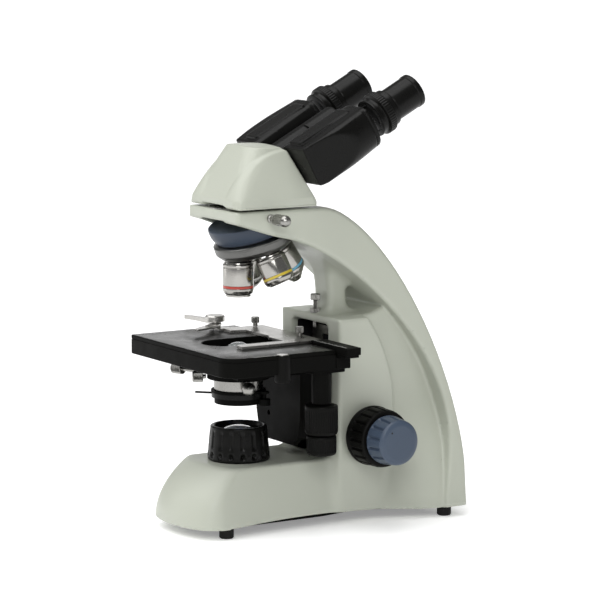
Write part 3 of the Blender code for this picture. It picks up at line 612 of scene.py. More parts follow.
def casting_field(x, y, z):
    """Rounded union of arm, web, pillar, neck and base, less the well, focus slot and underside arch."""
    across = np.abs(x)
    fall = np.clip((ARM_TOP_Z - z) / 257.0, 0, 1)
    arm = round_max(outline_distance(y, z, ARM), (across - 39.5 - 28.5 * fall**1.15) * 0.99, 3.2)

    spread = smooth_step((y - 96) / 68.0) * (1 - smooth_step((z - 8) / 105.0))
    web = round_max(outline_distance(y, z, WEB), across - 35.0 - 4 * fall - 24 * spread, 3.0)
    pillar = round_max(outline_distance(y, z, PILLAR), across - 46.6 + 1.2 * fall, 2.6)
    neck = round_max(outline_distance(y, z, NECK), across - 13.0 - 10 * smooth_step((z - 205) / 25.0), 5.0)

    rise = np.clip((z - 8) / 48.0, 0, 1.1)
    flare = (17.5 - 10.5 * rise) * smooth_step((y - 82) / 84.0)
    half = 48.0 - 8.5 * rise - 2.0 * smooth_step((y + 45) / 70.0) + flare
    front = -66.6 + 31.0 * rise**2.1 + 0.0052 * x**2 + 9.0 * (across / 47.0) ** 8
    base = round_max((across - half) * 0.97, (front - y) * 0.8, 5.0)
    base = round_max(base, z - DECK_Z, 2.2)
    base = round_max(base, y - 176.0 + 0.06 * z, 2.0)

    body = round_min(pillar, base, 10.0)
    body = round_min(body, web, 3.0)
    body = round_min(body, arm, 2.0)
    body = round_min(body, neck, 7.0)

    reach = y * TURRET_AXIS[1] + (z - APEX_Z) * TURRET_AXIS[2]
    off_y, off_z = y - reach * TURRET_AXIS[1], z - APEX_Z - reach * TURRET_AXIS[2]
    well = np.sqrt(x * x + off_y**2 + off_z**2) - WELL_R - WELL_FLARE * np.maximum(reach - 60, 0)
    well = np.maximum(np.maximum(well, z - WELL_TOP_Z), reach - WELL_REACH)
    body = round_max(body, -well, 0.8)
    slot = round_max(across - SLOT_HALF_WIDTH, np.abs(z - SLOT_Z) - SLOT_HALF_HEIGHT, 5.0)
    body = round_max(body, -np.maximum(slot, np.maximum(SLOT_FRONT_Y - y, y - SLOT_BACK_Y)), 0.8)
    hollow = 8.4 + 3.2 * np.clip(1 - ((y - 52) / 88.0) ** 2, 0, 1)
    body = round_max(body, hollow - z, 0.8)
    inner = np.hypot(y - FOCUS_Y, z - FOCUS_Z) - FOCUS_RECESS_R
    recess = np.maximum(inner, FOCUS_RECESS_X - across)
    return round_max(body, -recess, 0.5)


class MICROSCOPE_OT_stand(bpy.types.Operator):
    """Casts the stand: base, pillar, neck and arched arm in one painted piece"""

    bl_idname = "microscope.stand"
    bl_label = "Stand"

    def execute(self, context):
        surface = level_surface(casting_field, CASTING_LOW, CASTING_HIGH, sizes().casting_cell)
        piece("stand_shell", surface, "white_paint", "stand", "stand_casting", None, False)
        # Painted shade: a black card in the focus slot.
        slot_painted_shade()
        cover_plate()
        dress("focus_guide", "steel")
        machined("power_inlet", "black_plastic", 0.5)
        machined("rocker_switch", "smooth_black", 0.8)
        for end in ("front_right", "front_left", "rear_right", "rear_left"):
            profile = [
                (0, 8.9), (5.2, 8.9), (6.0, 7.8), (6.0, 1.0), (5.0, 0.0), (2.6, 0.0), (2.4, 0.8), (0, 0.8)
            ]
            shape = turned(profile, 40, centre_of("foot_" + end))
            piece("foot_pad_" + end, shape, "rubber", "stand", "foot_" + end)
        return {"FINISHED"}


def cover_plate():
    """The plate that closes the underside, set in from the casting's edge."""
    half = [(0, -50), (18, -50), (37, -36), (36, 60), (29, 98), (52, 158), (52, 172), (0, 172)]
    outline = softened(np.array(half[1:-1] + [(-x, y) for x, y in reversed(half[1:-1])], float), 4.0, True)
    count = len(outline)
    middle = outline.mean(0)
    rings = ((0, 8.9), (1, 8.9), (1, 7.6), (0.985, 7.1), (0, 7.1))
    layers = [np.column_stack([middle + (outline - middle) * k, np.full(count, z)]) for k, z in rings]
    points = np.concatenate(layers)
    surface = points, band_faces(len(rings), count)
    return piece("underside_plate", surface, "black_anodised", "stand", "bottom_plate")


def slot_painted_shade():
    """Painted shade: black card that lines the focus slot, standing in for the shade inside the pillar so
    that it looks hollow behind it.
    """
    low, high = np.array([-27.3, 74.0, 50.2]), np.array([27.3, 87.6, 165.8])
    wall = 0.6
    x = np.array([low[0], high[0]])
    z = np.array([low[2], high[2]])
    outer = [(a, b, c) for a in x for b in (low[1], high[1]) for c in z]
    back = (low[1], high[1] - wall)
    inner = [(a, b, c) for a in (x[0] + wall, x[1] - wall) for b in back for c in (z[0] + wall, z[1] - wall)]
    faces = [(2, 6, 7, 3), (0, 2, 3, 1), (4, 5, 7, 6), (0, 4, 6, 2), (1, 3, 7, 5)]
    faces += [tuple(8 + i for i in reversed(face)) for face in faces]
    faces += [(0, 1, 9, 8), (1, 5, 13, 9), (5, 4, 12, 13), (4, 0, 8, 12)]
    return piece("slot_painted_shade", (np.array(outer + inner), faces), "rubber", "stand")


class MICROSCOPE_OT_stand_screws(bpy.types.Operator):
    """Turns the head clamp screw, the stage stop screw, the tension collar and the brightness dial"""

    bl_idname = "microscope.stand_screws"
    bl_label = "Stand screws"

    def execute(self, context):
        across = tilted((1, 0, 0), (0, 0, 1))
        profile = [
            (0, 69), (2.0, 68.8), (3.8, 67.4), (4.7, 65.4), (4.7, 50.2), (4.0, 49.4), (4.0, 47.4),
            (2.5, 46.9)
        ]
        profile += [(2.5, 44.0), (3.4, 43.6), (3.4, 41.6), (2.45, 41.3), (2.45, 26), (0, 25.6)]
        shape = turned(profile, 144, (0, 6, 259.3), across, ribs(30, 0.35, 50.6, 64.6), 0.4, 0.8)
        piece("head_clamp", shape, "turned_steel", "lock_screw", "head_lock_screw")
        profile = [
            (0, 188.4), (1.6, 188.4), (1.6, 187.6), (4.1, 188.3), (4.1, 183.3), (1.8, 182.8), (1.8, 176.6)
        ]
        profile += [(4.3, 176.3), (4.3, 172.5), (1.85, 172.4), (1.85, 160), (0, 160)]
        shape = turned(profile, 120, (0, 74.5, 0), UPRIGHT, ribs(24, 0.4, 172.9, 188.0), 0.3, 0.6)
        piece("stop_screw_turned", shape, "turned_steel", "stop_screw", "stage_stop_screw")
        profile = [(10.1, 47.5), (20.9, 47.5), (20.9, 50.9), (10.1, 50.9)]
        at = (0, FOCUS_Y, FOCUS_Z)
        shape = turned(profile, 144, at, across, ribs(36, 0.7, 47.0, 51.5), 0.4, 0.7, True)
        piece("tension_ring", shape, "black_plastic", "tension", "tension_collar")
        profile = [(0, 5.9), (8.6, 5.9), (10.4, 4.6), (10.4, -4.8), (0, -4.8)]
        shape = turned(
            profile, 180, (-43.5, 4, 34), tilted((-1, 0, 0), (0, 0, 1)), ribs(45, 0.35, -4, 4.4), 0.5, 0.8
        )
        piece("dial_wheel", shape, "black_plastic", "dial", "brightness_dial")
        return {"FINISHED"}


class MICROSCOPE_OT_lamp(bpy.types.Operator):
    """Makes the lamp in the base with its fluted ring and domed collector lens"""

    bl_idname = "microscope.lamp"
    bl_label = "Lamp"

    def execute(self, context):
        profile = [(20.3, 84.6), (21.8, 85), (23.3, 84.2), (24.0, 78), (24.7, 70), (25.7, 61.4), (25.8, 57.2)]
        profile += [(25.2, 56.4), (20.5, 56.4), (20.5, 67.8), (19.1, 69.2), (19.1, 81.6)]
        count = sizes().lamp_flutes

        def grips(a, r, z):
            outside = r > 22.5
            off = (np.mod(a * count / (2 * math.pi) + 0.5, 1) - 0.5) * 2 * math.pi * r / count
            dimple = np.exp(-((off / 1.7) ** 2))
            hole = -2.4 * dimple * np.exp(-(((z - 61.5) / 1.7) ** 2))
            return outside * (flutes(count, 0.9, 66.0, 82.0, 0.34, 2.5)(a, r, z) + hole)

        shape = turned(profile, 384, (0, 0, 0), UPRIGHT, grips, 0.6, 0.9, True)
        piece("lamp_ring_fluted", shape, "smooth_black", "lamp_ring", "collector_ring")
        dome = [
            (0, 84.6), (5, 84.2), (10, 82.9), (14, 81.0), (17.4, 78.4), (18.4, 77.6), (18.4, 69.7),
            (0, 69.7)
        ]
        shape = turned(dome, 96, soft=1.2)
        piece(
            "collector_dome", shape, glass("lens_glass", (0.86, 0.9, 0.9), 0.85), "stand",
            "collector_lens"
        )
        board = [(0, 55), (3, 54.6), (4.6, 52.4), (4.8, 51.2), (12.8, 51), (12.8, 40.2), (0, 40.2)]
        piece("led_disc", turned(board, 64), "led_board", "stand", "led_module")
        mirror = [(19.0, 69.0), (14.5, 61.0), (11.5, 55.0), (11.5, 54.4), (15.2, 60.6), (19.9, 68.8)]
        piece("lamp_reflector", turned(mirror, 96, soft=0.1, closed=True), "chrome", "lamp_ring")
        return {"FINISHED"}


# ---------------------------------------------------------------- focus


class MICROSCOPE_OT_focus(bpy.types.Operator):
    """Makes the coaxial focus knobs on both sides"""

    bl_idname = "microscope.focus"
    bl_label = "Focus knobs"

    def execute(self, context):
        at = (0, FOCUS_Y, FOCUS_Z)
        for side, sign in (("right", 1), ("left", -1)):
            turn = tilted((sign, 0, 0), (0, 0, 1))
            rim = [
                (5.2, 51.7), (22.2, 51.7), (24.3, 52.8), (24.9, 54.6), (24.9, 57.0), (24.0, 57.8),
                (24.4, 58.8)
            ]
            rim += [(24.1, 72.5), (23.2, 75.8), (22.0, 76.8), (17.2, 76.8), (16.8, 70.2), (5.2, 70.2)]
            grips = flutes(sizes().coarse_flutes, 1.6, 58.6, 75.2, 0.26, 1.2, beyond=22.6)
            shape = turned(rim, 400, at, turn, grips, 0.7, 0.9, True)
            piece(
                "coarse_grip_" + side, shape, "black_plastic", "coarse_drive", "coarse_knob_" + side,
            )
            cap = [
                (0, 97.9), (14.4, 97.7), (17.1, 96.9), (18.7, 95.1), (19.5, 88), (20.2, 80.4), (20.2, 77.8)
            ]
            cap += [(3.7, 77.8), (3.7, 89.8), (0, 89.8)]
            grips = flutes(sizes().fine_flutes, 1.6, 78.4, 94.8, 0.26, 2.0, beyond=15.5)
            shape = turned(cap, 420, at, turn, grips, 0.8, 0.9)
            piece(
                "fine_grip_" + side, shape, "blue_plastic", "fine_drive", "fine_knob_" + side,
            )
            hole = [(0, 98.02), (0.75, 98.02), (0.75, 97.4), (0, 97.4)]
            spot = np.asarray(at, float) + turn @ np.array([9.0, 8.0, 0.0])
            piece("fine_mark_" + side, turned(hole, 20, spot, turn, soft=0.05), "engraving", "fine_drive")
        dress("coarse_shaft", "turned_steel")
        dress("fine_shaft", "turned_steel")
        dress("focus_rack", "brass")
        return {"FINISHED"}


# ---------------------------------------------------------------- stage


INK_HEIGHT = 0.06


def ticks(name, starts, along, length, width, body):
    """Raised printed strokes: thin boxes from their start points, length along one way, width across."""
    starts = np.asarray(starts, float)
    along = np.asarray(along, float)
    side = np.array([-along[1], along[0], 0.0])
    lengths = np.asarray(length, float).reshape(-1, 1) * np.ones((len(starts), 1))
    corners = []
    for up in (0.0, INK_HEIGHT):
        for u, v in ((0, -0.5), (1, -0.5), (1, 0.5), (0, 0.5)):
            corners.append(starts + u * lengths * along + v * width * side + (0, 0, up))
    points = np.stack(corners, 1).reshape(-1, 3)
    box = np.array([(3, 2, 1, 0), (4, 5, 6, 7), (0, 1, 5, 4), (1, 2, 6, 5), (2, 3, 7, 6), (3, 0, 4, 7)])
    faces = (box[None] + 8 * np.arange(len(starts))[:, None, None]).reshape(-1, 4)
    return piece(name, (points, faces), "scale_ink", body, sharp=30, merge=False)


def rounded(low, high, radii, inset=0.0, steps=8):
    """A rectangle with its own radius at each corner, counted from the far right one."""
    corners = ((high[0], high[1]), (low[0], high[1]), (low[0], low[1]), (high[0], low[1]))
    points = []
    for turn, ((x, y), radius) in enumerate(zip(corners, radii)):
        signs = ((1, 1), (-1, 1), (-1, -1), (1, -1))[turn]
        angle = np.radians(np.linspace(90 * turn, 90 * turn + 90, steps))
        reach = max(radius - inset, 0.2)
        centre = np.array([x - signs[0] * (inset + reach), y - signs[1] * (inset + reach)])
        points.append(centre + reach * np.stack([np.cos(angle), np.sin(angle)], 1))
    return np.concatenate(points)


def lofted(rows):
    """A closed skin through outlines of equal length at their own heights, the last joined to the first."""
    count = len(rows[0][0])
    points = np.concatenate([np.column_stack([outline, np.full(count, float(z))]) for outline, z in rows])
    return points, band_faces(len(rows), count, closed=True)


def stage_plate():
    """The upper stage: a lofted plate round its aperture, with a glossy top and a boss on its right edge."""

    def outer(inset):
        return rounded((-81, -57), (81, 44), (1.0, 1.0, 2.5, 16.0), inset)

    def inner(inset):
        return rounded((-18, -32), (18, 40), (17.9,) * 4, inset)

    rows = [(inner(0), 146), (inner(0), 153.5), (inner(-0.35), 153.85), (inner(-0.8), 154), (outer(1.1), 154)]
    rows += [
        (outer(0.35), 153.8), (outer(0), 153.3), (outer(0), 151.2), (outer(0.4), 151.0),
        (outer(0.4), 150.5)
    ]
    rows += [(outer(0), 150.3), (outer(0), 138.6), (outer(0.5), 138.1), (outer(1.0), 138), (outer(6), 138)]
    rows += [(outer(6), 146)]
    node = "upper_stage_plate"
    plate = piece("stage_top_plate", lofted(rows), "black_anodised", "upper_stage", node, 20)
    plate.data.materials.append(finish("stage_black"))
    up = np.empty(len(plate.data.polygons) * 3)
    middle = np.empty(len(plate.data.polygons) * 3)
    plate.data.polygons.foreach_get("normal", up)
    plate.data.polygons.foreach_get("center", middle)
    top = (up[2::3] > 0.99) & (middle[2::3] > 0.1539)
    plate.data.polygons.foreach_set("material_index", top.astype(np.int32))
    boss = [
        (0, 153.7), (5.6, 153.7), (6.3, 153.2), (6.5, 152.2), (6.5, 133), (5.8, 131.4), (5.0, 131.1),
        (0, 131.1)
    ]
    piece("stage_boss", turned(boss, 72, (78, -5, 0)), "black_plastic", "upper_stage")
    cap = [(0, 154.1), (4.4, 154.1), (4.9, 153.9), (4.9, 153.3), (0, 153.3)]
    piece("stage_boss_cap", turned(cap, 48, (78, -5, 0), soft=0.2), "chrome", "upper_stage")


class MICROSCOPE_OT_stage(bpy.types.Operator):
    """Makes the mechanical stage, its carrier and its two coaxial drive knobs"""

    bl_idname = "microscope.stage"
    bl_label = "Stage"

    def execute(self, context):
        stage_plate()
        machined("drive_housing", "black_anodised", 0.7)
        machined("lower_stage_plate", "black_anodised", 0.6)
        machined("stage_carrier", "black_anodised", 0.9)
        reach = np.arange(0, 41)
        starts = np.stack([np.full(41, 80.2), -22.0 + reach * 1.0 - 20.0, np.full(41, 154.0)], 1)
        ticks(
            "stage_scale", starts[10:], (-1, 0, 0), np.where(reach[10:] % 10 == 0, 3.4, 1.9), 0.22,
            "upper_stage"
        )
        at = (65, 40, 0)
        upper = [
            (13.2, 106.9), (13.5, 105.9), (13.5, 85.4), (12.7, 83.3), (3.4, 83.1), (3.4, 139), (4.5, 139)
        ]
        upper += [(4.5, 107.4), (12.0, 107.3)]
        grip = ribs(40, 0.42, 86.2, 103.8, beyond=11)
        shape = turned(upper, 240, at, UPRIGHT, grip, 0.6, 1.0, True)
        piece("y_knob_ribbed", shape, "black_plastic", "y_knob", "y_drive_knob")
        lower = [
            (0, 139.4), (2.9, 139.4), (2.9, 82.2), (11.7, 82.0), (12.3, 80.8), (12.3, 68.2), (11.2, 66.2),
            (0, 66)
        ]
        grip = ribs(36, 0.42, 69.0, 79.6, beyond=10)
        shape = turned(lower, 216, at, UPRIGHT, grip, 0.6, 1.0)
        piece("x_knob_ribbed", shape, "black_plastic", "x_knob", "x_drive_knob")
        return {"FINISHED"}


class MICROSCOPE_OT_holder(bpy.types.Operator):
    """Makes the slide holder with its spring finger, its rack bar and its thumb screws"""

    bl_idname = "microscope.holder"
    bl_label = "Slide holder"

    def execute(self, context):
        machined("slide_holder", "steel", 0.3)
        machined("x_rack_bar", "black_anodised", 0.5)
        machined("spring_finger", "steel", 0.35)
        for side in ("left", "right"):
            at = centre_of("holder_screw_" + side)
            profile = [
                (0, 164.9), (2.9, 164.9), (3.4, 164.4), (3.4, 160.2), (2.9, 159.7), (2.0, 159.7),
                (2.0, 157)
            ]
            profile += [(0, 157)]
            shape = turned(profile, 96, at, UPRIGHT, ribs(24, 0.3, 160.1, 164.5), 0.2, 0.5)
            piece(
                "holder_thumb_" + side, shape, "turned_steel", side + "_screw", "holder_screw_" + side,
            )
        count = 50
        reach = np.arange(count)
        starts = np.stack([44.0 + reach * 1.0, np.full(count, 45.2), np.full(count, 157.0)], 1)
        ticks("holder_scale", starts, (0, 1, 0), np.where(reach % 10 == 0, 3.2, 1.8), 0.2, "holder")
        return {"FINISHED"}


# ---------------------------------------------------------------- condenser


class MICROSCOPE_OT_condenser(bpy.types.Operator):
    """Makes the condenser with its iris, its swing-out filter and its chrome levers and screws"""

    bl_idname = "microscope.condenser"
    bl_label = "Condenser"

    def execute(self, context):
        machined("condenser_body", "black_anodised", 0.4)
        machined("condenser_mount", "black_anodised", 0.5)
        machined("condenser_lever_ring", "turned_steel", 0.3)
        machined("iris_ring", "smooth_black", 0.3)
        machined("filter_holder", "black_anodised", 0.4)
        dress("blue_filter", glass("filter_glass", (0.1, 0.3, 0.8), 0.8))
        dome = [(0, 153.55), (3, 153.3), (6, 152.4), (8.4, 150.9), (8.9, 150.2), (8.9, 144.6), (0, 144.6)]
        shape = turned(dome, 80, soft=0.8)
        piece(
            "condenser_dome", shape, glass("lens_glass", (0.86, 0.9, 0.9), 0.85), "condenser",
            "condenser_lens"
        )
        for name, angle, reach in (("clamp", 200, (26.6, 60, 71)), ("centring", 240, (26.6, 29, 38))):
            head = [
                (0, reach[2]), (3.8, reach[2]), (4.6, reach[2] - 0.9), (4.6, reach[1] + 0.6),
                (4.1, reach[1])
            ]
            head += [(1.8, reach[1]), (1.8, reach[0]), (0, reach[0])]
            away = (math.cos(math.radians(angle)), math.sin(math.radians(angle)), 0)
            shape = turned(
                head, 120, (0, 0, 125), tilted(away, (0, 0, 1)),
                ribs(30, 0.35, reach[1] + 0.5, reach[2] - 1), 0.3, 0.6
            )
            piece(
                "condenser_" + name + "_turned", shape, "turned_steel", name + "_screw",
                "condenser_" + name + "_screw"
            )
        return {"FINISHED"}


# ---------------------------------------------------------------- nosepiece


def objective_frame(angle):
    """The frame of an objective: its third column is the axis and its first points away from the turret's."""
    axis = objective_axis(angle)
    return tilted(axis, np.dot(TURRET_AXIS, axis) * axis - TURRET_AXIS)


def objective_axis(angle):
    """Unit vector of an objective at an angle round the nosepiece in degrees, 0 on the optical axis."""
    down = np.array([0.0, 0.0, -1.0])
    turn = math.radians(angle)
    k = TURRET_AXIS
    return down * math.cos(turn) + np.cross(k, down) * math.sin(turn) + k * np.dot(k, down) * (
        1 - math.cos(turn)
    )


class MICROSCOPE_OT_nosepiece(bpy.types.Operator):
    """Makes the tilted nosepiece with its blue cover and four objectives"""

    bl_idname = "microscope.nosepiece"
    bl_label = "Nosepiece"

    def execute(self, context):
        apex = (0, 0, APEX_Z)
        turn = tilted(TURRET_AXIS)
        dome = [
            (0, 32.3), (34.2, 32.3), (34.2, 35.6), (33.6, 38.8), (32.4, 42.0), (30.6, 45.0), (29.8, 45.3),
            (29.8, 46.0)
        ]
        dome += [(0, 46.0)]
        shape = turned(dome, 128, apex, turn, soft=0.9, fine=1.5)
        piece("nosepiece_cover", shape, "dome_paint", "stand", "nosepiece_dome")
        # Painted shade: a thin black disc fills the gap between the cover and the ring, where the gap falls
        # into shade.
        gap = [(0, 46.1), (29.5, 46.1), (29.5, 46.5), (0, 46.5)]
        piece("nosepiece_gap_painted_shade", turned(gap, 96, apex, turn, soft=0.1), "rubber", "stand")
        ring = [(0, 46.7), (31.0, 46.7), (32.8, 47.5), (33.7, 48.4), (33.4, 49.0), (33.6, 49.6), (33.2, 54.4)]
        ring += [(32.5, 55.6), (30.4, 58.0), (29.6, 58.7), (6.4, 65.5), (5.6, 65.8), (0, 65.8)]
        grip = ribs(120, 0.16, 50.0, 54.2, beyond=32)
        shape = turned(ring, 480, apex, turn, grip, 0.4, 0.8)
        piece("nosepiece_ring", shape, "dark_steel", "nosepiece", "nosepiece_turret")

        # name: place round the nosepiece, enamel, tip profile, radius of the front lens if the tip is open
        builds = {
            "4x": (
                0, "red_enamel",
                [(12.75, 88.8), (11.9, 91.4), (10.4, 92.4), (10.4, 94), (7, 94), (6.2, 92.6)], 6.4
            ),
            "10x": (
                270, "yellow_enamel",
                [(12.75, 86), (11.4, 88.6), (9.6, 89.4), (9.4, 90), (5.2, 90), (4.6, 88.8)], 4.8
            ),
            "40x": (180, "cyan_enamel", [(12.75, 89.6), (11.9, 91.6), (10.9, 93)], None),
            "100x": (90, "white_enamel", [(12.75, 90.4), (11.9, 92.6), (10.9, 94)], None),
        }
        for name, (angle, enamel, tip, radius) in builds.items():
            turn = objective_frame(angle)
            band = tip[0][1] - 2.8
            barrel = [
                (0, 65.5), (11.4, 65.5), (11.6, 66.8), (12.5, 67.3), (12.75, 67.9), (12.75, 69.4),
                (12.35, 69.6)
            ]
            barrel += [
                (12.35, 70.1), (12.75, 70.3), (12.75, band - 1.2), (12.45, band - 1.1), (12.45, band + 1.1)
            ]
            barrel += [(12.75, band + 1.2), *tip, (0, tip[-1][1])]
            shape = turned(barrel, 128, apex, turn, soft=0.25)
            piece("objective_barrel_" + name, shape, "chrome", "nosepiece", "objective_" + name)
            ring = [(12.3, band - 1.0), (12.65, band - 1.0), (12.65, band + 1.0), (12.3, band + 1.0)]
            shape = turned(ring, 128, apex, turn, soft=0.1, closed=True)
            piece("objective_band_" + name, shape, enamel, "nosepiece")
            if radius:
                end = tip[-2][1]
                lens = [
                    (0, end - 1.9), (radius * 0.7, end - 1.5), (radius, end - 0.9), (radius, end - 1.6),
                    (0, end - 2.6)
                ]
                shape = turned(lens, 48, apex, turn, soft=0.2)
                piece(
                    "objective_lens_" + name, shape, glass("front_glass", (0.2, 0.25, 0.35), 0.3),
                    "nosepiece"
                )
        for name, start, end in (("40x", 93.3, 101), ("100x", 94.3, 101.6)):
            cell = [
                (0, start), (9.7, start), (9.7, start + 1.2), (8.6, start + 2.2), (5.0, end - 1.2),
                (4.4, end - 0.1)
            ]
            cell += [(2.4, end - 0.1), (2.0, end - 0.6), (0, end - 0.6)]
            shape = turned(cell, 72, apex, objective_frame(builds[name][0]), soft=0.3)
            piece("front_cell_turned_" + name, shape, "chrome", "nosepiece", "front_cell_" + name)
        return {"FINISHED"}


# ---------------------------------------------------------------- head


def head_field(x, y, z):
    """Facets of the head housing with their edges rounded, and a shallow cheek on each side."""
    across = np.abs(x)
    side = np.maximum(across - 39.8, (across - 39.8) * 0.962 + (z - 274.0) * 0.273)
    front = np.maximum(-26.4 - y, (-26.4 - y) * 0.875 + (z - 275.0) * 0.484)
    back = np.maximum((y - 51.9) * 0.885 + (z - 270.6) * 0.466, y - 51.9)
    top = (z - 319.0) + 0.0022 * x**2 + 0.0016 * (y - 12.0) ** 2
    nose = (-y - 26.4) * 0.60 + (across - 40.0) * 0.55 + (z - 276.0) * 0.58
    shell = round_max(side, front, 9.0)
    shell = round_max(shell, nose + 1.0, 8.0)
    shell = round_max(shell, back, 2.2)
    shell = round_max(shell, top, 3.5)
    shell = round_max(shell, 266.7 - z, 1.0)
    arch = (np.sqrt(((y - 36.0) / 60.0) ** 2 + ((z - 262.0) / 53.0) ** 2) - 1.0) * 52.0
    cheek = round_max(arch, 15.0 + 0.22 * (z - 266.0) - across, 6.0)
    return shell + 2.6 * smooth_step(0.5 + cheek / 4.5)


class MICROSCOPE_OT_head(bpy.types.Operator):
    """Makes the painted head housing that turns on the stand"""

    bl_idname = "microscope.head"
    bl_label = "Head"

    def execute(self, context):
        surface = level_surface(head_field, (-43, -30, 263), (43, 56, 322), sizes().shell_cell)
        piece("head_shell", surface, "white_paint", "head", "head_housing", None, False)
        ring = [(24, 266.1), (24, 262.6), (21.7, 258.6), (16.2, 258.6), (16.2, 266.1)]
        shape = turned(ring, 96, soft=0.3, closed=True)
        piece("head_mount", shape, "turned_steel", "head", "head_dovetail")
        shape = turned([(0, 67.2), (4.5, 67.2), (4.5, 0.8), (0, 0.8)], 40, HINGE_FOOT, TUBE_TURN)
        piece("hinge_pin", shape, "turned_steel", "head", "hinge_axle")
        return {"FINISHED"}


# ---------------------------------------------------------------- binocular tubes

TUBE_TILT = math.radians(28)
HINGE_FOOT = np.array([0.0, 35.7, 299.8])
TUBE_AXIS = np.array([0.0, math.cos(TUBE_TILT), math.sin(TUBE_TILT)])
TUBE_TURN = tilted(TUBE_AXIS)
TUBE_REACH = 40.0
KNUCKLE_R, BORE_R, BORE_END = 14.2, 5.0, 67.5


def housing_field(sign):
    """One prism housing in tube coordinates: u across, v upwards from the tube axis, s along the tube."""

    def field(u, v, s):
        w = u * sign - TUBE_REACH
        radius = 22.9 - 2.7 * smooth_step((s - 30) / 46.0)
        barrel = (np.abs(w / radius) ** 2.6 + np.abs(v / radius) ** 2.6) ** (1 / 2.6) * radius - radius
        lid = v - 16.4 - 0.8 * smooth_step(s / 40.0)
        ends = np.maximum(1.4 - s, s - 75.8)
        body = round_max(barrel, lid, 2.6)
        body = round_max(body, ends, 1.6)
        groove = np.minimum(np.abs(s - 64.0), np.abs(s - 69.5)) - 0.5
        body = np.maximum(body, -np.maximum(groove, -barrel - 0.9))
        cut = (w - 13.6 - 0.20 * s) * 0.98
        body = round_max(body, cut, 1.0)
        under = -v - 21.0 + 0.30 * np.maximum(10.0 - s, 0)
        body = round_max(body, under, 3.0)
        panel = round_max(np.abs(w + 5.5) - 9.0, np.abs(s - 33.0) - 27.0, 3.0)
        raised = round_max(panel, v - 18.4, 0.6)
        body = round_min(body, np.maximum(raised, -v + 6.0), 0.5)
        low, high = (37.5, 70.5) if sign > 0 else (1.6, 37.0)
        ear = round_max(np.abs(v + 0.5) - 6.2, np.maximum(low - s, s - high), 1.0)
        ear = np.maximum(ear, np.maximum(4.5 - u * sign, u * sign - 30.0))
        knuckle = round_max(np.hypot(u, v) - KNUCKLE_R, s - high, 5.0 if sign > 0 else 0.8)
        knuckle = round_max(knuckle, low - s, 0.8)
        body = round_min(body, ear, 2.0)
        bore = np.maximum(BORE_R - np.hypot(u, v), s - BORE_END)
        return np.maximum(round_min(body, knuckle, 1.2), bore)

    return field


def in_tube(points):
    """Tube coordinates (across, up, along) into millimetres about the optical axis."""
    u, v, s = points.T
    up = np.array([0.0, -math.sin(TUBE_TILT), math.cos(TUBE_TILT)])
    return HINGE_FOOT + u[:, None] * np.array([1.0, 0, 0]) + v[:, None] * up + s[:, None] * TUBE_AXIS


class MICROSCOPE_OT_binocular(bpy.types.Operator):
    """Makes the two hinged tube housings with their dioptre rings and eyepieces"""

    bl_idname = "microscope.binocular"
    bl_label = "Binocular tubes"

    def execute(self, context):
        for side, sign in (("right", 1), ("left", -1)):
            low = (-11, -26, 0) if sign > 0 else (-66, -26, 0)
            high = (66, 26, 78) if sign > 0 else (11, 26, 78)
            points, faces = level_surface(housing_field(sign), low, high, sizes().shell_cell)
            # Across, up and along make a left-handed set, so each face is read backwards.
            surface = in_tube(points), faces[:, ::-1]
            node = "prism_housing_" + side
            piece(
                "tube_housing_" + side, surface, "smooth_black", "tube_" + side, node,
                None, False
            )
            at = HINGE_FOOT + (sign * TUBE_REACH, 0, 0)
            ring = [
                (12, 76.5), (16.5, 76.5), (16.5, 78.4), (15.9, 78.8), (15.9, 81.8), (16.6, 82.3),
                (18.3, 83.1)
            ]
            ring += [(18.5, 83.6), (18.5, 89.2), (17.9, 89.8), (16.2, 90.4), (16.0, 95.4), (12, 95.4)]
            grip = ribs(52, 0.35, 83.4, 89.4, beyond=17.2)
            shape = turned(ring, 288, at, TUBE_TURN, grip, 0.35, 0.9, True)
            piece(
                "dioptre_grip_" + side, shape, "smooth_black", "dioptre_" + side, "dioptre_ring_" + side,
            )
            eye = [
                (0, 120.9), (9.6, 120.9), (10.2, 121.3), (11.8, 123.8), (13.8, 124.4), (14.6, 123.6),
                (14.6, 119.8)
            ]
            eye += [(14.1, 119.3), (14.1, 97.2), (13.6, 96.2), (11.6, 96.1), (11.6, 77.2), (0, 77.2)]
            shape = turned(eye, 128, at, TUBE_TURN, soft=0.4)
            piece(
                "ocular_barrel_" + side, shape, "smooth_black", "ocular_" + side, "eyepiece_" + side,
            )
            lens = [(0, 122.8), (4, 122.5), (9.4, 121.5), (9.4, 121.0), (0, 121.0)]
            shape = turned(lens, 72, at, TUBE_TURN, soft=0.5)
            piece("ocular_lens_" + side, shape, glass("eye_glass", (0.25, 0.3, 0.4), 0.35), "ocular_" + side)
        return {"FINISHED"}


# ---------------------------------------------------------------- studio

CAMERA_AZIMUTH, CAMERA_ELEVATION, CAMERA_DISTANCE = 58.4, 8.0, 2.55
CAMERA_TARGET = (0.0, 0.0595, 0.184)
CAMERA_LENS, CAMERA_SENSOR = 184.1, 36.0
FLOOR_RADII, FLOOR_STEPS, FLOOR_COLOUR, FLOOR_GLOW = (0.0, 0.5, 2.0, 6.0, 20.0), 96, (0.93, 0.93, 0.93), 0.3
KEY_POWER, KEY_SPREAD, KEY_FROM = 2.5, math.radians(70), (-0.12, -0.34, 0.92)
AIR_BRIGHTNESS = 0.22
# name: place, size in metres, power in watts
PANELS = {
    "left_strip": ((-1.5, -1.2, 0.75), (0.5, 1.6), 3.5),
    "overhead": ((0.3, -0.2, 1.9), (0.9, 0.9), 4),
    "horizon": ((-1.9, 1.2, 0.62), (2.2, 0.55), 4.5),
    "side_fill": ((2.0, -1.2, 1.4), (1.2, 1.2), 24),
}
PANEL_TARGET = (0, 0, 0.16)


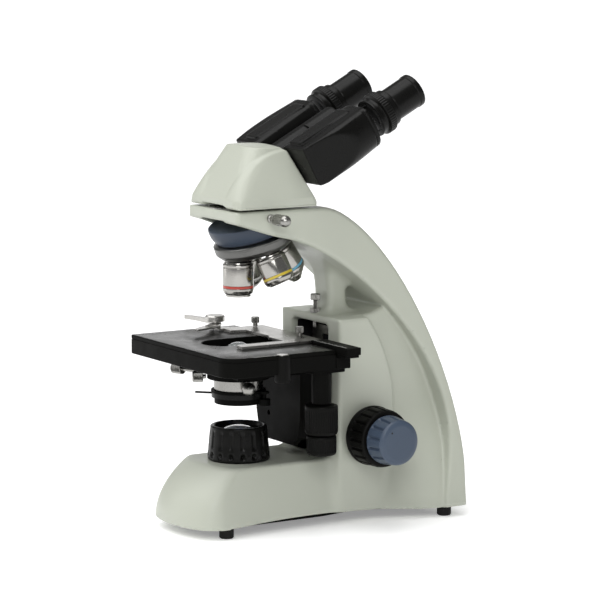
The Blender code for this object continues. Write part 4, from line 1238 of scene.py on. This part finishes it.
def panel(name, at, target, size, power):
    """A white rectangular light that faces a point."""
    light = bpy.data.lights.new(name, "AREA")
    light.shape = "RECTANGLE"
    light.size, light.size_y = size
    light.energy = power
    obj = bpy.data.objects.new(name, light)
    obj.location = at
    obj.rotation_euler = (Vector(target) - Vector(at)).to_track_quat("-Z", "Y").to_euler()
    bpy.context.scene.collection.objects.link(obj)


class MICROSCOPE_OT_studio(bpy.types.Operator):
    """Lays the pale floor and sets the camera and the soft lights"""

    bl_idname = "microscope.studio"
    bl_label = "Studio"

    def execute(self, context):
        scene = bpy.context.scene
        angle = np.linspace(0, 2 * math.pi, FLOOR_STEPS, endpoint=False)
        r, a = np.meshgrid(FLOOR_RADII, angle, indexing="ij")
        points = np.stack([r * np.cos(a), r * np.sin(a), 0 * a], -1).reshape(-1, 3)
        faces = band_faces(len(FLOOR_RADII), FLOOR_STEPS)[:, ::-1]
        mesh = bpy.data.meshes.new("floor")
        mesh.from_pydata(points, [], faces.tolist())
        tidy_mesh(mesh)
        floor = bpy.data.objects.new("floor", mesh)
        scene.collection.objects.link(floor)
        material = bpy.data.materials.new("studio_paper")
        material.use_nodes = True
        tree = material.node_tree
        shader = tree.nodes["Principled BSDF"]
        shader.inputs["Roughness"].default_value = 0.9
        shader.inputs["Specular IOR Level"].default_value = 0.1
        surface = surface_node(tree, FLOOR_COLOUR, {"Tone": 0.004, "Grain Height": 0.0})
        tree.links.new(surface.outputs["Color"], shader.inputs["Base Color"])
        tree.links.new(surface.outputs["Color"], shader.inputs["Emission Color"])
        shader.inputs["Emission Strength"].default_value = FLOOR_GLOW
        mesh.materials.append(material)

        camera = bpy.data.cameras.new("camera")
        camera.lens = CAMERA_LENS
        camera.sensor_width = CAMERA_SENSOR
        camera.clip_end = 20.0
        rig = bpy.data.objects.new("camera", camera)
        azimuth, elevation = math.radians(CAMERA_AZIMUTH), math.radians(CAMERA_ELEVATION)
        level = math.cos(elevation)
        away = Vector((math.sin(azimuth) * level, -math.cos(azimuth) * level, math.sin(elevation)))
        target = Vector(CAMERA_TARGET) + Vector((OPTICAL_X, OPTICAL_Y, 0))
        rig.location = target + away * CAMERA_DISTANCE
        rig.rotation_euler = away.to_track_quat("Z", "Y").to_euler()
        scene.collection.objects.link(rig)
        scene.camera = rig

        sun = bpy.data.lights.new("key", "SUN")
        sun.energy = KEY_POWER
        sun.angle = KEY_SPREAD
        key = bpy.data.objects.new("key", sun)
        key.rotation_euler = Vector(KEY_FROM).to_track_quat("Z", "Y").to_euler()
        scene.collection.objects.link(key)
        for name, (at, size, power) in PANELS.items():
            panel(name, at, PANEL_TARGET, size, power)
        world = bpy.data.worlds.new("studio_air")
        world.use_nodes = True
        world.node_tree.nodes["Background"].inputs["Color"].default_value = (1, 1, 1, 1)
        world.node_tree.nodes["Background"].inputs["Strength"].default_value = AIR_BRIGHTNESS
        scene.world = world
        scene.view_settings.view_transform = "Standard"
        scene.view_settings.look = "None"
        return {"FINISHED"}


class MICROSCOPE_PT_parts(bpy.types.Panel):
    """Lists the microscope's sizes, colours and pieces"""

    bl_idname = "MICROSCOPE_PT_parts"
    bl_label = "Microscope"
    bl_space_type = "VIEW_3D"
    bl_region_type = "UI"
    bl_category = "Microscope"

    def draw(self, context):
        for group in (context.scene.microscope_sizes, context.scene.microscope_colours):
            for key in group.__annotations__:
                self.layout.prop(group, key)
        for operator in OPERATORS:
            self.layout.operator(operator.bl_idname)


OPERATORS = (
    MICROSCOPE_OT_stand,
    MICROSCOPE_OT_stand_screws,
    MICROSCOPE_OT_lamp,
    MICROSCOPE_OT_focus,
    MICROSCOPE_OT_stage,
    MICROSCOPE_OT_holder,
    MICROSCOPE_OT_condenser,
    MICROSCOPE_OT_nosepiece,
    MICROSCOPE_OT_head,
    MICROSCOPE_OT_binocular,
    MICROSCOPE_OT_studio,
)
CLASSES = (MicroscopeSizes, MicroscopeColours, *OPERATORS, MICROSCOPE_PT_parts)


def register():
    for cls in CLASSES:
        bpy.utils.register_class(cls)
    bpy.types.Scene.microscope_sizes = bpy.props.PointerProperty(type=MicroscopeSizes)
    bpy.types.Scene.microscope_colours = bpy.props.PointerProperty(type=MicroscopeColours)


def unregister():
    del bpy.types.Scene.microscope_colours
    del bpy.types.Scene.microscope_sizes
    for cls in reversed(CLASSES):
        bpy.utils.unregister_class(cls)


def main():
    register()
    for operator in OPERATORS:
        group, name = operator.bl_idname.split(".")
        getattr(getattr(bpy.ops, group), name)()


if __name__ == "__main__":
    main()
